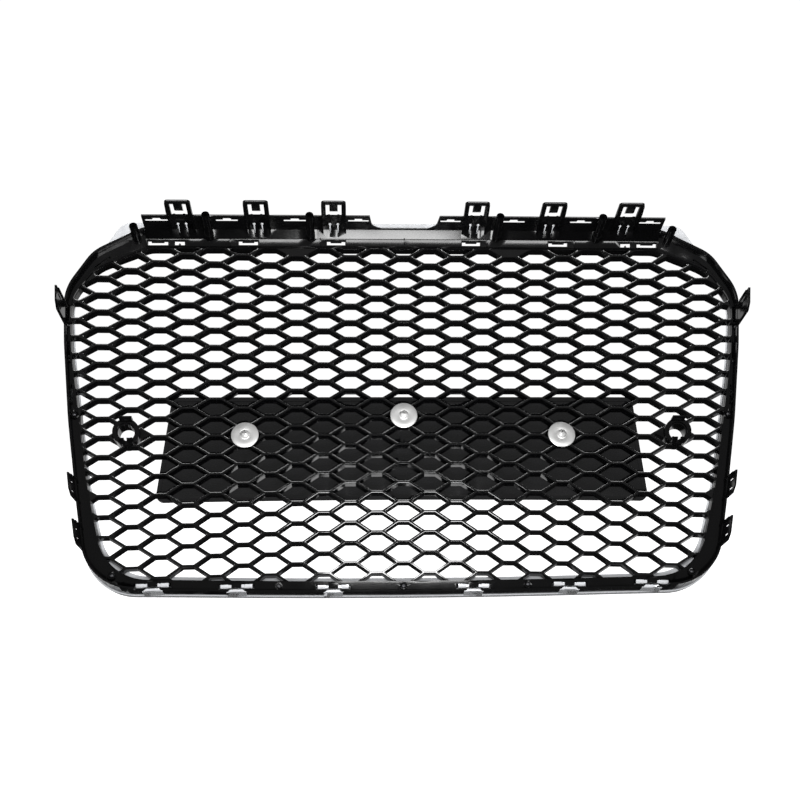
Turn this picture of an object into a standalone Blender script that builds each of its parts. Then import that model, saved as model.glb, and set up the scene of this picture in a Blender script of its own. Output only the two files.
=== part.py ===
"""Front grille of a car: a honeycomb moulding in a carrier frame with a bright surround.

Metres, +Z up, the show side towards -Y and the fixing side towards +Y. The grille stands upright
on its lower edge. Its face is swept back towards both ends, and its walls, studs and tabs all run
along the draw direction of the mould, which points forward and down.

Every moulding is first drawn on a flat sheet: x across the car, z up the face, and depth along the
draw direction, with depth 0 in the middle of the honeycomb and positive to the rear. lay_on_face()
then carries each vertex of the flat drawing onto the swept face.
"""

import math

import bmesh
import bpy
from mathutils import Matrix, Vector

# ---- the face ----------------------------------------------------------------------------------
DRAW_ANGLE = math.radians(26.7)   # how far the draw direction points below the horizontal
SWEEP_RISE = 0.043                # how far the face has gone back at SWEEP_SPAN from the middle
SWEEP_SPAN = 0.400
SHEET_LIFT = 0.2570               # height of the sheet's z = 0 above the lowest edge
SHEET_BACK = -0.0420              # the sheet's middle, so that the whole part is centred in y
FACET_STEP = 0.060                # widest flat strip of a swept surface
NARROW_FACE = 0.055               # faces narrower than this are left whole
CLEARANCE = 0.0003                # gap between neighbouring pieces

# ---- outlines: right half from the top centre to the bottom centre, (x, z, corner radius) --------
OUTER = [(0.0, 0.2097, 12.0), (0.318, 0.2025, 0.030), (0.376, 0.1725, 0.050), (0.4095, 0.125, 0.060),
         (0.4095, 0.060, 0.300), (0.4055, -0.030, 0.500), (0.3965, -0.135, 0.400),
         (0.386, -0.2355, 0.062), (0.0, -0.2525, 5.5)]
OPENING = [(0.0, 0.1912, 12.0), (0.313, 0.1845, 0.030), (0.374, 0.159, 0.050), (0.4044, 0.121, 0.050),
           (0.4044, 0.060, 0.400), (0.387, -0.105, 0.400), (0.366, -0.222, 0.062), (0.0, -0.2385, 5.5)]
SURROUND = [(0.0, 0.2302, 12.0), (0.346, 0.2215, 0.022), (0.380, 0.172, 0.080), (0.4110, 0.122, 0.060),
            (0.4110, 0.060, 0.300), (0.4070, -0.030, 0.500), (0.3980, -0.135, 0.400),
            (0.3875, -0.2368, 0.063), (0.0, -0.2541, 5.5)]
SURROUND_OPENING = [(0.0, 0.2100, 12.0), (0.3200, 0.2035, 0.030), (0.3775, 0.1640, 0.050),
                    (0.4030, 0.1240, 0.050), (0.4022, 0.060, 0.400), (0.3848, -0.105, 0.400),
                    (0.3635, -0.2135, 0.060), (0.0, -0.2290, 5.5)]
ARC_STEP = math.radians(15)       # widest angle between the points of a rounded corner
ARC_CHORD = 0.060                 # and the longest chord

# ---- honeycomb ---------------------------------------------------------------------------------
MESH_DEPTH = 0.011
MESH_WEB = 0.0030                 # wall between two cells
MESH_RIM = 0.0024
COLUMN_PITCH = 0.03356
CELL_FLAT = 0.0145                # level edge of a cell, between wall centres
COLUMNS_EACH_SIDE = 12
TOP_ROW_Z = 0.1892
ROW_PITCH_TOP = 0.0199            # the cells grow taller towards the foot
ROW_PITCH_FOOT = 0.0266
ROW_GROWTH = 1.4
ROWS = 18
SHORTEST_CUT_EDGE = 0.0050
SMALLEST_CELL = 160e-6            # cut cells under this area, in square metres, are closed

# ---- carrier frame -----------------------------------------------------------------------------
WALL = 0.0024
FLANGE_FRONT = MESH_DEPTH / 2 + CLEARANCE
FLANGE_THICK = 0.0025
FLANGE_REAR = FLANGE_FRONT + FLANGE_THICK
WALL_REAR = 0.020                 # rear edge of the side walls
LOW_WALL_REAR = 0.0105            # rear edge of the bottom wall
SIDE_TABS = [(0.0965, 0.0255, 0.061, 0.0010), (-0.1155, 0.0265, 0.044, 0.0030),
             (-0.1735, 0.0290, 0.048, 0.0025)]    # z, height, rear edge, outward flare
CORNER_STUD = (0.327, 0.1935, 0.037)              # x, z, rear end
STUD_RADIUS = 0.00485
STUD_HOLE = 0.0021
STUD_HOLE_DEPTH = 0.012
BOSS_RADIUS = 0.0046
BOSS_REAR = 0.0115
SCREW_HOLE = 0.0021
LOW_SCREWS = [(0.157, -0.2378), (0.0, -0.2400), (-0.157, -0.2378)]
CORNER_SCREW = (0.3580, -0.2185)
SIDE_SCREW = (0.4001, -0.0215)
SIDE_SLOTS = [(0.1025, 0.022), (0.057, 0.024), (0.006, 0.022)]    # z and height of the wall slots
TAB_HALF_THICK = 0.0010
TAB_SLITS = (0.020, 0.007)         # where the slits of a side tab start and end before its edge
TAB_SLIT_Z = 0.0055
TAB_SLIT_HEIGHT = 0.0032
SIDE_SLOT_WIDTH = 0.0021
CHAMFER_SLOT_WIDTH = 0.0034
HOOK_WINDOW_HEIGHT = 0.0060
CHAMFER_SLOT = (0.3672, 0.1640, 0.022, math.radians(-39))         # x, z, length, slope

# ---- top rail ----------------------------------------------------------------------------------
RAIL_HALF = 0.3165
RAIL_TOP_Z = 0.2070
RAIL_CROWN = 0.0045               # drop of the rail's top from its middle to its ends
RAIL_FRONT = FLANGE_REAR + CLEARANCE
RAIL_FLANGE = 0.0020
RAIL_FLANGE_DROP = 0.0185
SHELF_REAR = 0.0460
SHELF_THICK = 0.0024
STEP_REAR = 0.0187                # where the sloping step meets the shelf
STEP_DROP = 0.0085
NOTCH_HALF = 0.043
NOTCH_FRONT = 0.0195
TOP_TABS = [0.2712, 0.1802, 0.0872]               # x of the tabs, mirrored to the other side
TAB_WIDTH = 0.0300
TAB_REAR = 0.0750
TAB_FRONT = 0.0300
TAB_CORNER = 0.0040
TAB_RIB_DROP = 0.0052
RAIL_STUDS = [0.2405, 0.1165]
RAIL_STUD_REAR = 0.0570
RAIL_STUD_DROP = 0.0066           # stud axis below the shelf's top
SHELF_SLOTS = [(0.300, 0.026), (0.2170, 0.026), (0.1350, 0.027), (0.0570, 0.025)]
WINDOW_SILL = 0.0014
WINDOW_HEIGHT = 0.0056
SNAP_SLOT = {"half": 0.0095, "tongue": 0.0050, "front": 0.0480, "bar_rear": 0.0560, "rear": 0.0690}
TAB_SLIT = {"x": 0.0048, "half": 0.0009, "front": 0.0215, "rear": 0.0345}
SHELF_SLOT_FRONT = 0.0345
SHELF_SLOT_REAR = 0.0378
SHELF_SLOT_STEP = 0.0405
FLANGE_WINDOWS = [(0.3023, 0.0240), (0.2764, 0.0130), (0.1936, 0.0235), (0.0849, 0.0228)]

# ---- bright surround ---------------------------------------------------------------------------
SURROUND_REAR = -MESH_DEPTH / 2 - CLEARANCE
SURROUND_FRONT = SURROUND_REAR - 0.0125
HOOK_X = [0.3105, 0.2092, 0.0888]
HOOK_WIDTH = 0.040
HOOK_Z = -0.2405
HOOK_HEIGHT = 0.0045
HOOK_REAR = 0.0120
HOOK_POST_X = 0.0148
HOOK_POST_WIDTH = 0.0095
HOOK_BRIDGE_WIDTH = 0.024
SIDE_HOOKS = [0.0680, -0.0600, -0.0860]
SIDE_HOOK_HEIGHT = 0.013
SIDE_HOOK_THICK = 0.0009
SURROUND_BOSS = 0.0036

# ---- plate board, washers and screws -------------------------------------------------------------
BOARD_TOP = 0.0064
BOARD_FOOT = -0.1240
BOARD_TOP_HALF = 0.2885
BOARD_FOOT_HALF = 0.3100
BOARD_CORNER = 0.009
BOARD_REAR = SURROUND_REAR - CLEARANCE
BOARD_THICK = 0.0030
BOARD_SEATS = {"left": (0.1980, -0.0500), "centre": (0.0, -0.0262), "right": (-0.1980, -0.0500)}
SEAT_RADIUS = 0.0035
WASHER_FRONT = 0.0156
WASHER_RADIUS = 0.0170
WASHER_THICK = 0.0015
HEAD_RADIUS = 0.0050
HEAD_HEIGHT = 0.0060
SHANK_RADIUS = 0.0015
PLATE_SHANK = 0.016
CASE_HEAD_RADIUS = 0.0031
CASE_HEAD_HEIGHT = 0.0022
CASE_SHANK = 0.0185
CASE_HEAD_GAP = 0.0006

# ---- sensor brackets -----------------------------------------------------------------------------
BRACKET_AT = (0.3408, -0.0430)
BRACKET_RADIUS = 0.0160
BRACKET_BORE = 0.0098
BRACKET_FRONT = -0.0080
BRACKET_REAR = 0.0120
ARM_REAR = 0.0230
ARM_WIDTH = 0.0150
ARM_INNER = 0.0118
ARM_OUTER = 0.0150
ARM_SLOT = (0.0065, 0.0030)       # where the slot in an arm starts and ends before its tip
ARM_SLOT_WIDTH = 0.0050


# ---- the swept face ------------------------------------------------------------------------------
def on_face(x, depth, z):
    """World position of a point of the flat sheet."""
    swept = SHEET_BACK + SWEEP_RISE * (x / SWEEP_SPAN) ** 2
    return Vector((x, swept + depth * math.cos(DRAW_ANGLE),
                   SHEET_LIFT + z + depth * math.sin(DRAW_ANGLE)))


def rail_top(x):
    """Height of the rail's top on the sheet."""
    return RAIL_TOP_Z - RAIL_CROWN * (x / RAIL_HALF) ** 2


# ---- outlines ------------------------------------------------------------------------------------
def rounded(corners):
    """Closed loop through corners (x, z, radius), each rounded by an arc."""
    loop = []
    for index, (x, z, radius) in enumerate(corners):
        here = Vector((x, z))
        back = Vector(corners[index - 1][:2]) - here
        ahead = Vector(corners[(index + 1) % len(corners)][:2]) - here
        turn = math.pi - back.angle(ahead)
        if radius <= 0.0 or turn < math.radians(0.5):
            loop.append(here)
            continue
        reach = radius * math.tan(turn / 2)
        middle = (back.normalized() + ahead.normalized()).normalized()
        centre = here + middle * (radius / math.cos(turn / 2))
        first = here + back.normalized() * reach - centre
        side = 1.0 if back.x * ahead.y - back.y * ahead.x < 0 else -1.0
        steps = max(2, math.ceil(turn / ARC_STEP), math.ceil(turn * radius / ARC_CHORD))
        for step in range(steps + 1):
            angle = side * turn * step / steps
            loop.append(centre + Matrix.Rotation(angle, 2) @ first)
    return loop


def symmetric(half):
    """Whole outline from its right half, which starts and ends on the centre line."""
    return rounded(half + [(-x, z, radius) for x, z, radius in reversed(half[1:-1])])


def inset(loop, distance):
    """The loop moved inwards by a distance, or outwards by a negative one."""
    twice_area = sum(a.x * b.y - b.x * a.y for a, b in zip(loop, loop[1:] + loop[:1]))
    inwards = 1.0 if twice_area > 0 else -1.0
    moved = []
    for index, here in enumerate(loop):
        before = (here - loop[index - 1]).normalized()
        after = (loop[(index + 1) % len(loop)] - here).normalized()
        normal = Vector((-before.y - after.y, before.x + after.x)).normalized() * inwards
        stretch = abs(normal.x * before.y - normal.y * before.x)
        moved.append(here + normal * (distance / max(stretch, 0.3)))
    return moved


def rectangle(x, z, width, height, angle=0.0):
    """Corners of a rectangle with its centre at (x, z)."""
    turn = Matrix.Rotation(angle, 2)
    corners = [(-1, -1), (1, -1), (1, 1), (-1, 1)]
    return [Vector((x, z)) + turn @ Vector((i * width / 2, j * height / 2)) for i, j in corners]


def circle(x, z, radius, count=16):
    return [Vector((x + radius * math.cos(math.tau * i / count),
                    z + radius * math.sin(math.tau * i / count))) for i in range(count)]


# ---- flat solids -----------------------------------------------------------------------------------
def solid_from_loops(name, loops, thickness):
    """Mesh object of a filled 2D curve: the first loop is the outside and the others are holes."""
    curve = bpy.data.curves.new(name, "CURVE")
    curve.dimensions = "2D"
    curve.fill_mode = "BOTH"
    curve.extrude = thickness / 2
    for loop in loops:
        spline = curve.splines.new("POLY")
        spline.points.add(len(loop) - 1)
        for point, corner in zip(spline.points, loop):
            point.co = (corner.x, corner.y, 0.0, 1.0)
        spline.use_cyclic_u = True
    outline = bpy.data.objects.new(name + "_outline", curve)
    bpy.context.scene.collection.objects.link(outline)
    depsgraph = bpy.context.evaluated_depsgraph_get()
    mesh = bpy.data.meshes.new_from_object(outline.evaluated_get(depsgraph))
    bpy.data.objects.remove(outline)
    bpy.data.curves.remove(curve)
    shape = bmesh.new()
    shape.from_mesh(mesh)
    bmesh.ops.remove_doubles(shape, verts=shape.verts, dist=1e-6)
    bmesh.ops.recalc_face_normals(shape, faces=shape.faces)
    shape.to_mesh(mesh)
    shape.free()
    return link(name, mesh, cutters)


def link(name, mesh, collection):
    body = bpy.data.objects.new(name, mesh)
    collection.objects.link(body)
    return body


def move_vertices(body, place):
    """Replace each vertex by place(vertex) and keep the faces pointing out."""
    for vertex in body.data.vertices:
        vertex.co = place(vertex.co)
    shape = bmesh.new()
    shape.from_mesh(body.data)
    bmesh.ops.recalc_face_normals(shape, faces=shape.faces)
    shape.to_mesh(body.data)
    shape.free()
    return body


def upright(name, loops, front, rear):
    """Plate parallel to the face, from depth front to depth rear."""
    body = solid_from_loops(name, loops, rear - front)
    middle = (front + rear) / 2
    return move_vertices(body, lambda co: Vector((co.x, middle - co.z, co.y)))


def level(name, loops, low, high):
    """Plate drawn in x and depth, from z low to z high."""
    body = solid_from_loops(name, loops, high - low)
    middle = (low + high) / 2
    return move_vertices(body, lambda co: Vector((co.x, co.y, middle + co.z)))


def bar(name, profile, left, right):
    """Bar along x with a profile drawn in depth and z."""
    body = solid_from_loops(name, [[Vector(corner) for corner in profile]], right - left)
    middle = (left + right) / 2
    return move_vertices(body, lambda co: Vector((middle + co.z, co.x, co.y)))


def block(name, x, front, rear, low, high, width):
    profile = [(front, low), (rear, low), (rear, high), (front, high)]
    return bar(name, profile, x - width / 2, x + width / 2)


def rod(name, x, z, radius, front, rear, sides=12, square_end=True):
    """Round rod along the draw direction. Its front end lies along the face, and its rear end can
    be square to the rod's axis."""
    bpy.ops.mesh.primitive_cylinder_add(vertices=sides, radius=radius, depth=rear - front)
    body = bpy.context.active_object
    body.name = name
    for collection in list(body.users_collection):
        collection.objects.unlink(body)
    cutters.objects.link(body)
    middle = (front + rear) / 2

    def place(co):
        rise = co.y / math.cos(DRAW_ANGLE)
        slant = rise * math.sin(DRAW_ANGLE) if square_end and co.z < 0 else 0.0
        return Vector((x + co.x, middle - co.z - slant, z + rise))

    return move_vertices(body, place)


def combine(body, others, operation):
    """Join the others to the body, or cut them from it, one after the other."""
    for other in others:
        modifier = body.modifiers.new(other.name, "BOOLEAN")
        modifier.operation = operation
        modifier.object = other
    depsgraph = bpy.context.evaluated_depsgraph_get()
    mesh = bpy.data.meshes.new_from_object(body.evaluated_get(depsgraph))
    body.modifiers.clear()
    body.data = mesh
    for other in others:
        bpy.data.objects.remove(other)
    return body


def join(body, others):
    return combine(body, others, "UNION")


def cut(body, others):
    return combine(body, others, "DIFFERENCE")


def width(face):
    across = [vertex.co.x for vertex in face.verts]
    return max(across) - min(across)


def split_along_x(body, merge_flat=True):
    """Cut wide faces at every facet step, so that the sweep and the crown can bend them."""
    shape = bmesh.new()
    shape.from_mesh(body.data)
    if merge_flat:
        bmesh.ops.dissolve_limit(shape, angle_limit=math.radians(0.5), verts=shape.verts,
                                 edges=shape.edges)
    half = max(abs(vertex.co.x) for vertex in shape.verts)
    count = math.floor(half / FACET_STEP)
    for index in range(-count, count + 1):
        wide = [face for face in shape.faces if width(face) > NARROW_FACE]
        edges = {edge for face in wide for edge in face.edges}
        vertices = {vertex for face in wide for vertex in face.verts}
        bmesh.ops.bisect_plane(shape, geom=wide + list(edges) + list(vertices), dist=1e-6,
                               plane_co=(index * FACET_STEP, 0, 0), plane_no=(1, 0, 0))
    bmesh.ops.triangulate(shape, faces=shape.faces)
    shape.to_mesh(body.data)
    shape.free()


def lay_on_face(body, material):
    """Carry the flat solid onto the swept face, as a sub-part."""
    return adopt(move_vertices(body, lambda co: on_face(*co)), material)


def adopt(body, material):
    """Move the object into the grille's collection and give it its material."""
    for collection in list(body.users_collection):
        collection.objects.unlink(body)
    grille.objects.link(body)
    body.data.materials.clear()
    body.data.materials.append(material)
    body.data.shade_smooth()
    body.data.set_sharp_from_angle(angle=math.radians(35))
    return body


def turned(name, profile, x, z, depth, material, sides=20):
    """Turned piece on an axis along the draw direction. profile is (radius, height) from the top."""
    mesh = bpy.data.meshes.new(name)
    shape = bmesh.new()
    points = [shape.verts.new((radius, 0.0, height)) for radius, height in profile]
    for first, second in zip(points, points[1:]):
        shape.edges.new((first, second))
    if profile[0][0] > 0.0:
        shape.edges.new((points[-1], points[0]))
    shape.to_mesh(mesh)
    shape.free()
    body = link(name, mesh, grille)
    screw = body.modifiers.new("Turn", "SCREW")
    screw.steps = sides
    screw.render_steps = sides
    screw.use_merge_vertices = True
    screw.merge_threshold = 1e-5
    body.location = on_face(x, depth, z)
    body.rotation_euler = (DRAW_ANGLE - math.pi / 2, 0.0, 0.0)
    mesh.materials.append(material)
    return body


def make_material(name, colour, roughness, metallic):
    material = bpy.data.materials.new(name)
    material.use_nodes = True
    shader = material.node_tree.nodes["Principled BSDF"]
    shader.inputs["Base Color"].default_value = (*colour, 1.0)
    shader.inputs["Roughness"].default_value = roughness
    shader.inputs["Metallic"].default_value = metallic
    return material


# ---- honeycomb -------------------------------------------------------------------------------------
def row_heights():
    """Sheet z at every half row, from one half row above the top row to past the foot."""
    z = TOP_ROW_Z + ROW_PITCH_TOP / 2
    heights = [z]
    for half_row in range(2 * ROWS + 4):
        share = half_row / (2 * ROWS)
        pitch = ROW_PITCH_TOP + (ROW_PITCH_FOOT - ROW_PITCH_TOP) * share ** ROW_GROWTH
        z -= pitch / 2
        heights.append(z)
    return heights


def clipped(polygon, window):
    """The part of a polygon inside a convex window that runs clockwise."""
    for start, end in zip(window, window[1:] + window[:1]):
        along = end - start

        def inside(point):
            return along.x * (point.y - start.y) - along.y * (point.x - start.x) < 1e-9

        kept = []
        for index, here in enumerate(polygon):
            before = polygon[index - 1]
            if inside(here) != inside(before):
                a = along.x * (before.y - start.y) - along.y * (before.x - start.x)
                b = along.x * (here.y - start.y) - along.y * (here.x - start.x)
                kept.append(before + (here - before) * (a / (a - b)))
            if inside(here):
                kept.append(here)
        polygon = kept
        if len(polygon) < 3:
            return []
    return polygon


def without_short_edges(polygon, shortest):
    kept = []
    for point in polygon:
        if not kept or (point - kept[-1]).length > shortest:
            kept.append(point)
    while len(kept) > 2 and (kept[0] - kept[-1]).length < shortest:
        kept.pop()
    return kept


def area(polygon):
    pairs = zip(polygon, polygon[1:] + polygon[:1])
    return abs(sum(a.x * b.y - b.x * a.y for a, b in pairs)) / 2


def cell_openings(opening):
    """Loops of the honeycomb's cells, cut off where they meet the rim."""
    heights = row_heights()
    slant = COLUMN_PITCH - CELL_FLAT
    cells = []
    for column in range(-COLUMNS_EACH_SIDE, COLUMNS_EACH_SIDE + 1):
        x = column * COLUMN_PITCH
        first = 1 if column % 2 == 0 else 2
        for row in range(first, len(heights) - 1, 2):
            top, middle, foot = heights[row - 1], heights[row], heights[row + 1]
            flat = CELL_FLAT / 2
            tip = flat + slant
            hexagon = [Vector((x - flat, top)), Vector((x + flat, top)), Vector((x + tip, middle)),
                       Vector((x + flat, foot)), Vector((x - flat, foot)), Vector((x - tip, middle))]
            cell = clipped(inset(hexagon, MESH_WEB / 2), opening)
            cell = without_short_edges(cell, SHORTEST_CUT_EDGE)
            if len(cell) >= 3 and area(cell) > SMALLEST_CELL:
                cells.append(cell)
    return cells


def honeycomb_mesh(material):
    opening = symmetric(OPENING)
    loops = [inset(opening, -MESH_RIM)] + cell_openings(opening)
    body = upright("honeycomb_mesh", loops, -MESH_DEPTH / 2, MESH_DEPTH / 2)
    clear = BRACKET_RADIUS + CLEARANCE
    holes = [upright("seat", [circle(side * BRACKET_AT[0], BRACKET_AT[1], clear)],
                     -MESH_DEPTH, MESH_DEPTH) for side in (1, -1)]
    cut(body, holes)
    split_along_x(body, merge_flat=False)
    return lay_on_face(body, material)


# ---- carrier frame -----------------------------------------------------------------------------------
def screw_places():
    """Name and place of every screw that holds the surround to the carrier."""
    places = {}
    for word, (x, z) in zip(("left", "centre", "right"), LOW_SCREWS):
        places["lower_screw_" + word] = (x, z)
    for word, side in (("left", 1), ("right", -1)):
        places["corner_screw_" + word] = (side * CORNER_SCREW[0], CORNER_SCREW[1])
        places["side_screw_" + word] = (side * SIDE_SCREW[0], SIDE_SCREW[1])
    return places


def outer_x(z):
    """Half width of the outer outline at a height on its straight sides."""
    for (x0, z0, _), (x1, z1, _) in zip(OUTER[3:], OUTER[4:]):
        if z1 <= z <= z0:
            return x0 + (x1 - x0) * (z0 - z) / (z0 - z1)
    raise ValueError("height is not on a side of the frame")


def side_tab(side, z, height, rear, flare):
    """Flat snap tab that stands back from a side wall, with a slit window near its end."""
    root = outer_x(z) - WALL / 2
    lean = (outer_x(z + height / 2) - outer_x(z - height / 2)) / height
    front = FLANGE_FRONT + 0.0007
    half = TAB_HALF_THICK
    tab = level("tab", [rounded([(-half, front, 0), (half, front, 0), (half, rear, 0),
                                 (-half, rear, 0)])], z - height / 2, z + height / 2)
    start, end = TAB_SLITS
    windows = [block("slit", 0.0, rear - start, rear - end, z + shift - TAB_SLIT_HEIGHT / 2,
                     z + shift + TAB_SLIT_HEIGHT / 2, 0.02) for shift in (-TAB_SLIT_Z, TAB_SLIT_Z)]
    cut(tab, windows)

    def place(co):
        outwards = flare * max(0.0, (co.y - front) / (rear - front))
        return Vector((side * (root + co.x + outwards + lean * (co.z - z)), co.y, co.z))

    return move_vertices(tab, place)


def carrier_frame(material):
    outer = symmetric(OUTER)
    opening = symmetric(OPENING)
    body = upright("carrier_frame", [outer, inset(outer, WALL)], -MESH_DEPTH / 2, WALL_REAR)
    cut(body, [block("low_top", 0.0, FLANGE_REAR - 0.0004, 0.03, 0.15, 0.25, 2 * RAIL_HALF + 0.001),
               block("low_foot", 0.0, LOW_WALL_REAR, 0.03, -0.27, -0.19, 0.66)])
    join(body, [upright("flange", [inset(outer, WALL / 2), opening], FLANGE_FRONT, FLANGE_REAR)])
    parts = []
    for side in (1, -1):
        parts += [side_tab(side, *tab) for tab in SIDE_TABS]
        x, z, rear = CORNER_STUD
        parts.append(rod("stud", side * x, z, STUD_RADIUS, FLANGE_REAR - 0.001, rear))
    for name, (x, z) in screw_places().items():
        parts.append(rod("boss", x, z, BOSS_RADIUS, FLANGE_REAR - 0.001, BOSS_REAR))
    join(body, parts)
    holes = []
    for side in (1, -1):
        x, z, rear = CORNER_STUD
        holes.append(rod("stud_hole", side * x, z, STUD_HOLE, rear - STUD_HOLE_DEPTH, 0.06, 8))
        x, z, length, slope = CHAMFER_SLOT
        holes.append(upright("chamfer_slot", [rectangle(side * x, z, length, CHAMFER_SLOT_WIDTH,
                                                          side * slope)], -0.02, 0.03))
        for z, height in SIDE_SLOTS:
            x = outer_x(z) - WALL - SIDE_SLOT_WIDTH / 2 - 0.00005
            outline = rectangle(side * x, z, SIDE_SLOT_WIDTH, height)
            holes.append(upright("side_slot", [outline], 0.0, 0.03))
    for name, (x, z) in screw_places().items():
        holes.append(rod("screw_hole", x, z, SCREW_HOLE, -0.02, 0.03, 8))
    for x in HOOK_X:
        for side in (1, -1):
            holes.append(block("hook_window", side * x, 0.0, 0.03, hook_z(x) - HOOK_WINDOW_HEIGHT / 2,
                               hook_z(x) + HOOK_WINDOW_HEIGHT / 2, HOOK_WIDTH + 0.003))
    for x, width in FLANGE_WINDOWS:
        for side in (1, -1):
            low = rail_top(x) - RAIL_FLANGE_DROP + WINDOW_SILL - 0.0010
            holes.append(block("rail_window", side * x, 0.0, 0.03, low, low + WINDOW_HEIGHT + 0.0020,
                               width))
    cut(body, holes)
    split_along_x(body)
    return lay_on_face(body, material)


# ---- top rail ----------------------------------------------------------------------------------------
def top_rail(material):
    """Modelled with a straight top at z = 0, then crowned."""
    front, rear = RAIL_FRONT, RAIL_FRONT + RAIL_FLANGE
    profile = [(front, 0.0), (front, -RAIL_FLANGE_DROP), (rear, -RAIL_FLANGE_DROP),
               (rear, -STEP_DROP), (STEP_REAR, -SHELF_THICK), (SHELF_REAR, -SHELF_THICK),
               (SHELF_REAR, 0.0)]
    body = bar("top_rail", profile, -RAIL_HALF, RAIL_HALF)
    notch = rounded([(-NOTCH_HALF - 0.004, 0.06, 0), (-NOTCH_HALF, SHELF_REAR, 0.004),
                     (-NOTCH_HALF + 0.004, NOTCH_FRONT, 0.014), (NOTCH_HALF - 0.004, NOTCH_FRONT, 0.014),
                     (NOTCH_HALF, SHELF_REAR, 0.004), (NOTCH_HALF + 0.004, 0.06, 0)])
    cut(body, [level("notch", [notch], -0.0200, 0.01)])
    additions = []
    for x in [side * x for side in (1, -1) for x in TOP_TABS]:
        half = TAB_WIDTH / 2
        tongue = rounded([(x - half, TAB_FRONT, 0), (x + half, TAB_FRONT, 0),
                          (x + half, TAB_REAR, TAB_CORNER), (x - half, TAB_REAR, TAB_CORNER)])
        additions.append(level("tongue", [tongue], -SHELF_THICK - 0.0003, 0.0004))
        for edge in (-half + 0.0009, half - 0.0009):
            additions.append(block("tab_rib", x + edge, rear - 0.001, TAB_REAR - 0.006, -TAB_RIB_DROP,
                                   -0.0012, 0.0018))
    for x in [side * x for side in (1, -1) for x in RAIL_STUDS]:
        additions.append(rod("stud", x, -RAIL_STUD_DROP, STUD_RADIUS, rear - 0.001, RAIL_STUD_REAR))
    join(body, additions)
    holes = []
    for side in (1, -1):
        for x in TOP_TABS:
            holes += tab_windows(side * x)
        for x, width in SHELF_SLOTS:
            holes.append(shelf_slot(side * x, width))
        for x, width in FLANGE_WINDOWS:
            low = WINDOW_SILL - RAIL_FLANGE_DROP
            holes.append(block("window", side * x, front - 0.002, rear + 0.002, low,
                               low + WINDOW_HEIGHT, width))
        for x in RAIL_STUDS:
            holes.append(rod("stud_hole", side * x, -RAIL_STUD_DROP, STUD_HOLE,
                             RAIL_STUD_REAR - STUD_HOLE_DEPTH, 0.07, 8))
    cut(body, holes)
    split_along_x(body)
    move_vertices(body, lambda co: Vector((co.x, co.y, co.z + rail_top(co.x))))
    return lay_on_face(body, material)


def tab_windows(x):
    """U-shaped slot round the snap tongue of a top tab, and the two slits in front of it."""
    half, tongue = SNAP_SLOT["half"], SNAP_SLOT["tongue"]
    front, bar_rear, rear = SNAP_SLOT["front"], SNAP_SLOT["bar_rear"], SNAP_SLOT["rear"]
    outline = [(-half, front), (half, front), (half, rear), (tongue, rear), (tongue, bar_rear),
               (-tongue, bar_rear), (-tongue, rear), (-half, rear)]
    shapes = [level("snap_slot", [[Vector((x + u, v)) for u, v in outline]], -0.02, 0.01)]
    middle, length = (TAB_SLIT["front"] + TAB_SLIT["rear"]) / 2, TAB_SLIT["rear"] - TAB_SLIT["front"]
    for edge in (-TAB_SLIT["x"], TAB_SLIT["x"]):
        slit = rectangle(x + edge, middle, 2 * TAB_SLIT["half"], length)
        shapes.append(level("slit", [slit], -0.02, 0.01))
    return shapes


def shelf_slot(x, width):
    """Slot near the shelf's rear edge, with a wider middle."""
    half, step = width / 2, width / 5
    front, rear, stepped = SHELF_SLOT_FRONT, SHELF_SLOT_REAR, SHELF_SLOT_STEP
    outline = [(-half, front), (half, front), (half, rear), (step, rear), (step - 0.001, stepped),
               (-step + 0.001, stepped), (-step, rear), (-half, rear)]
    return level("shelf_slot", [[Vector((x + u, v)) for u, v in outline]], -0.02, 0.01)


# ---- bright surround -----------------------------------------------------------------------------------
def hook_z(x):
    """The hooks follow the curved bottom edge."""
    return HOOK_Z + 0.0090 * (x / 0.320) ** 2


def chrome_surround(material):
    body = upright("chrome_surround", [symmetric(SURROUND), symmetric(SURROUND_OPENING)],
                   SURROUND_FRONT, SURROUND_REAR)
    parts = []
    for x in HOOK_X:
        for side in (1, -1):
            z = hook_z(x)
            for post in (-HOOK_POST_X, HOOK_POST_X):
                parts.append(block("hook_post", side * x + post, SURROUND_REAR - 0.002, HOOK_REAR,
                                   z - HOOK_HEIGHT / 2, z + HOOK_HEIGHT / 2, HOOK_POST_WIDTH))
            parts.append(block("hook_bridge", side * x, FLANGE_REAR + 0.0010, HOOK_REAR - 0.0004,
                               z - HOOK_HEIGHT / 2 + 0.0004, z + HOOK_HEIGHT / 2 - 0.0004,
                               HOOK_BRIDGE_WIDTH))
    for name, (x, z) in screw_places().items():
        if not name.startswith("side"):
            parts.append(rod("boss", x, z, SURROUND_BOSS, SURROUND_REAR - 0.002,
                             FLANGE_FRONT - CLEARANCE, square_end=False))
    for z in SIDE_HOOKS:
        for side in (1, -1):
            top = z + SIDE_HOOK_HEIGHT / 2
            x = side * (outer_x(top) + CLEARANCE + SIDE_HOOK_THICK / 2)
            parts.append(block("side_hook", x, SURROUND_REAR - 0.004, 0.0100,
                               top - SIDE_HOOK_HEIGHT, top, SIDE_HOOK_THICK))
    join(body, parts)
    holes = [rod("screw_hole", x, z, SCREW_HOLE, SURROUND_FRONT + 0.004, 0.03, 8)
             for x, z in screw_places().values()]
    cut(body, holes)
    split_along_x(body)
    return lay_on_face(body, material)


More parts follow.
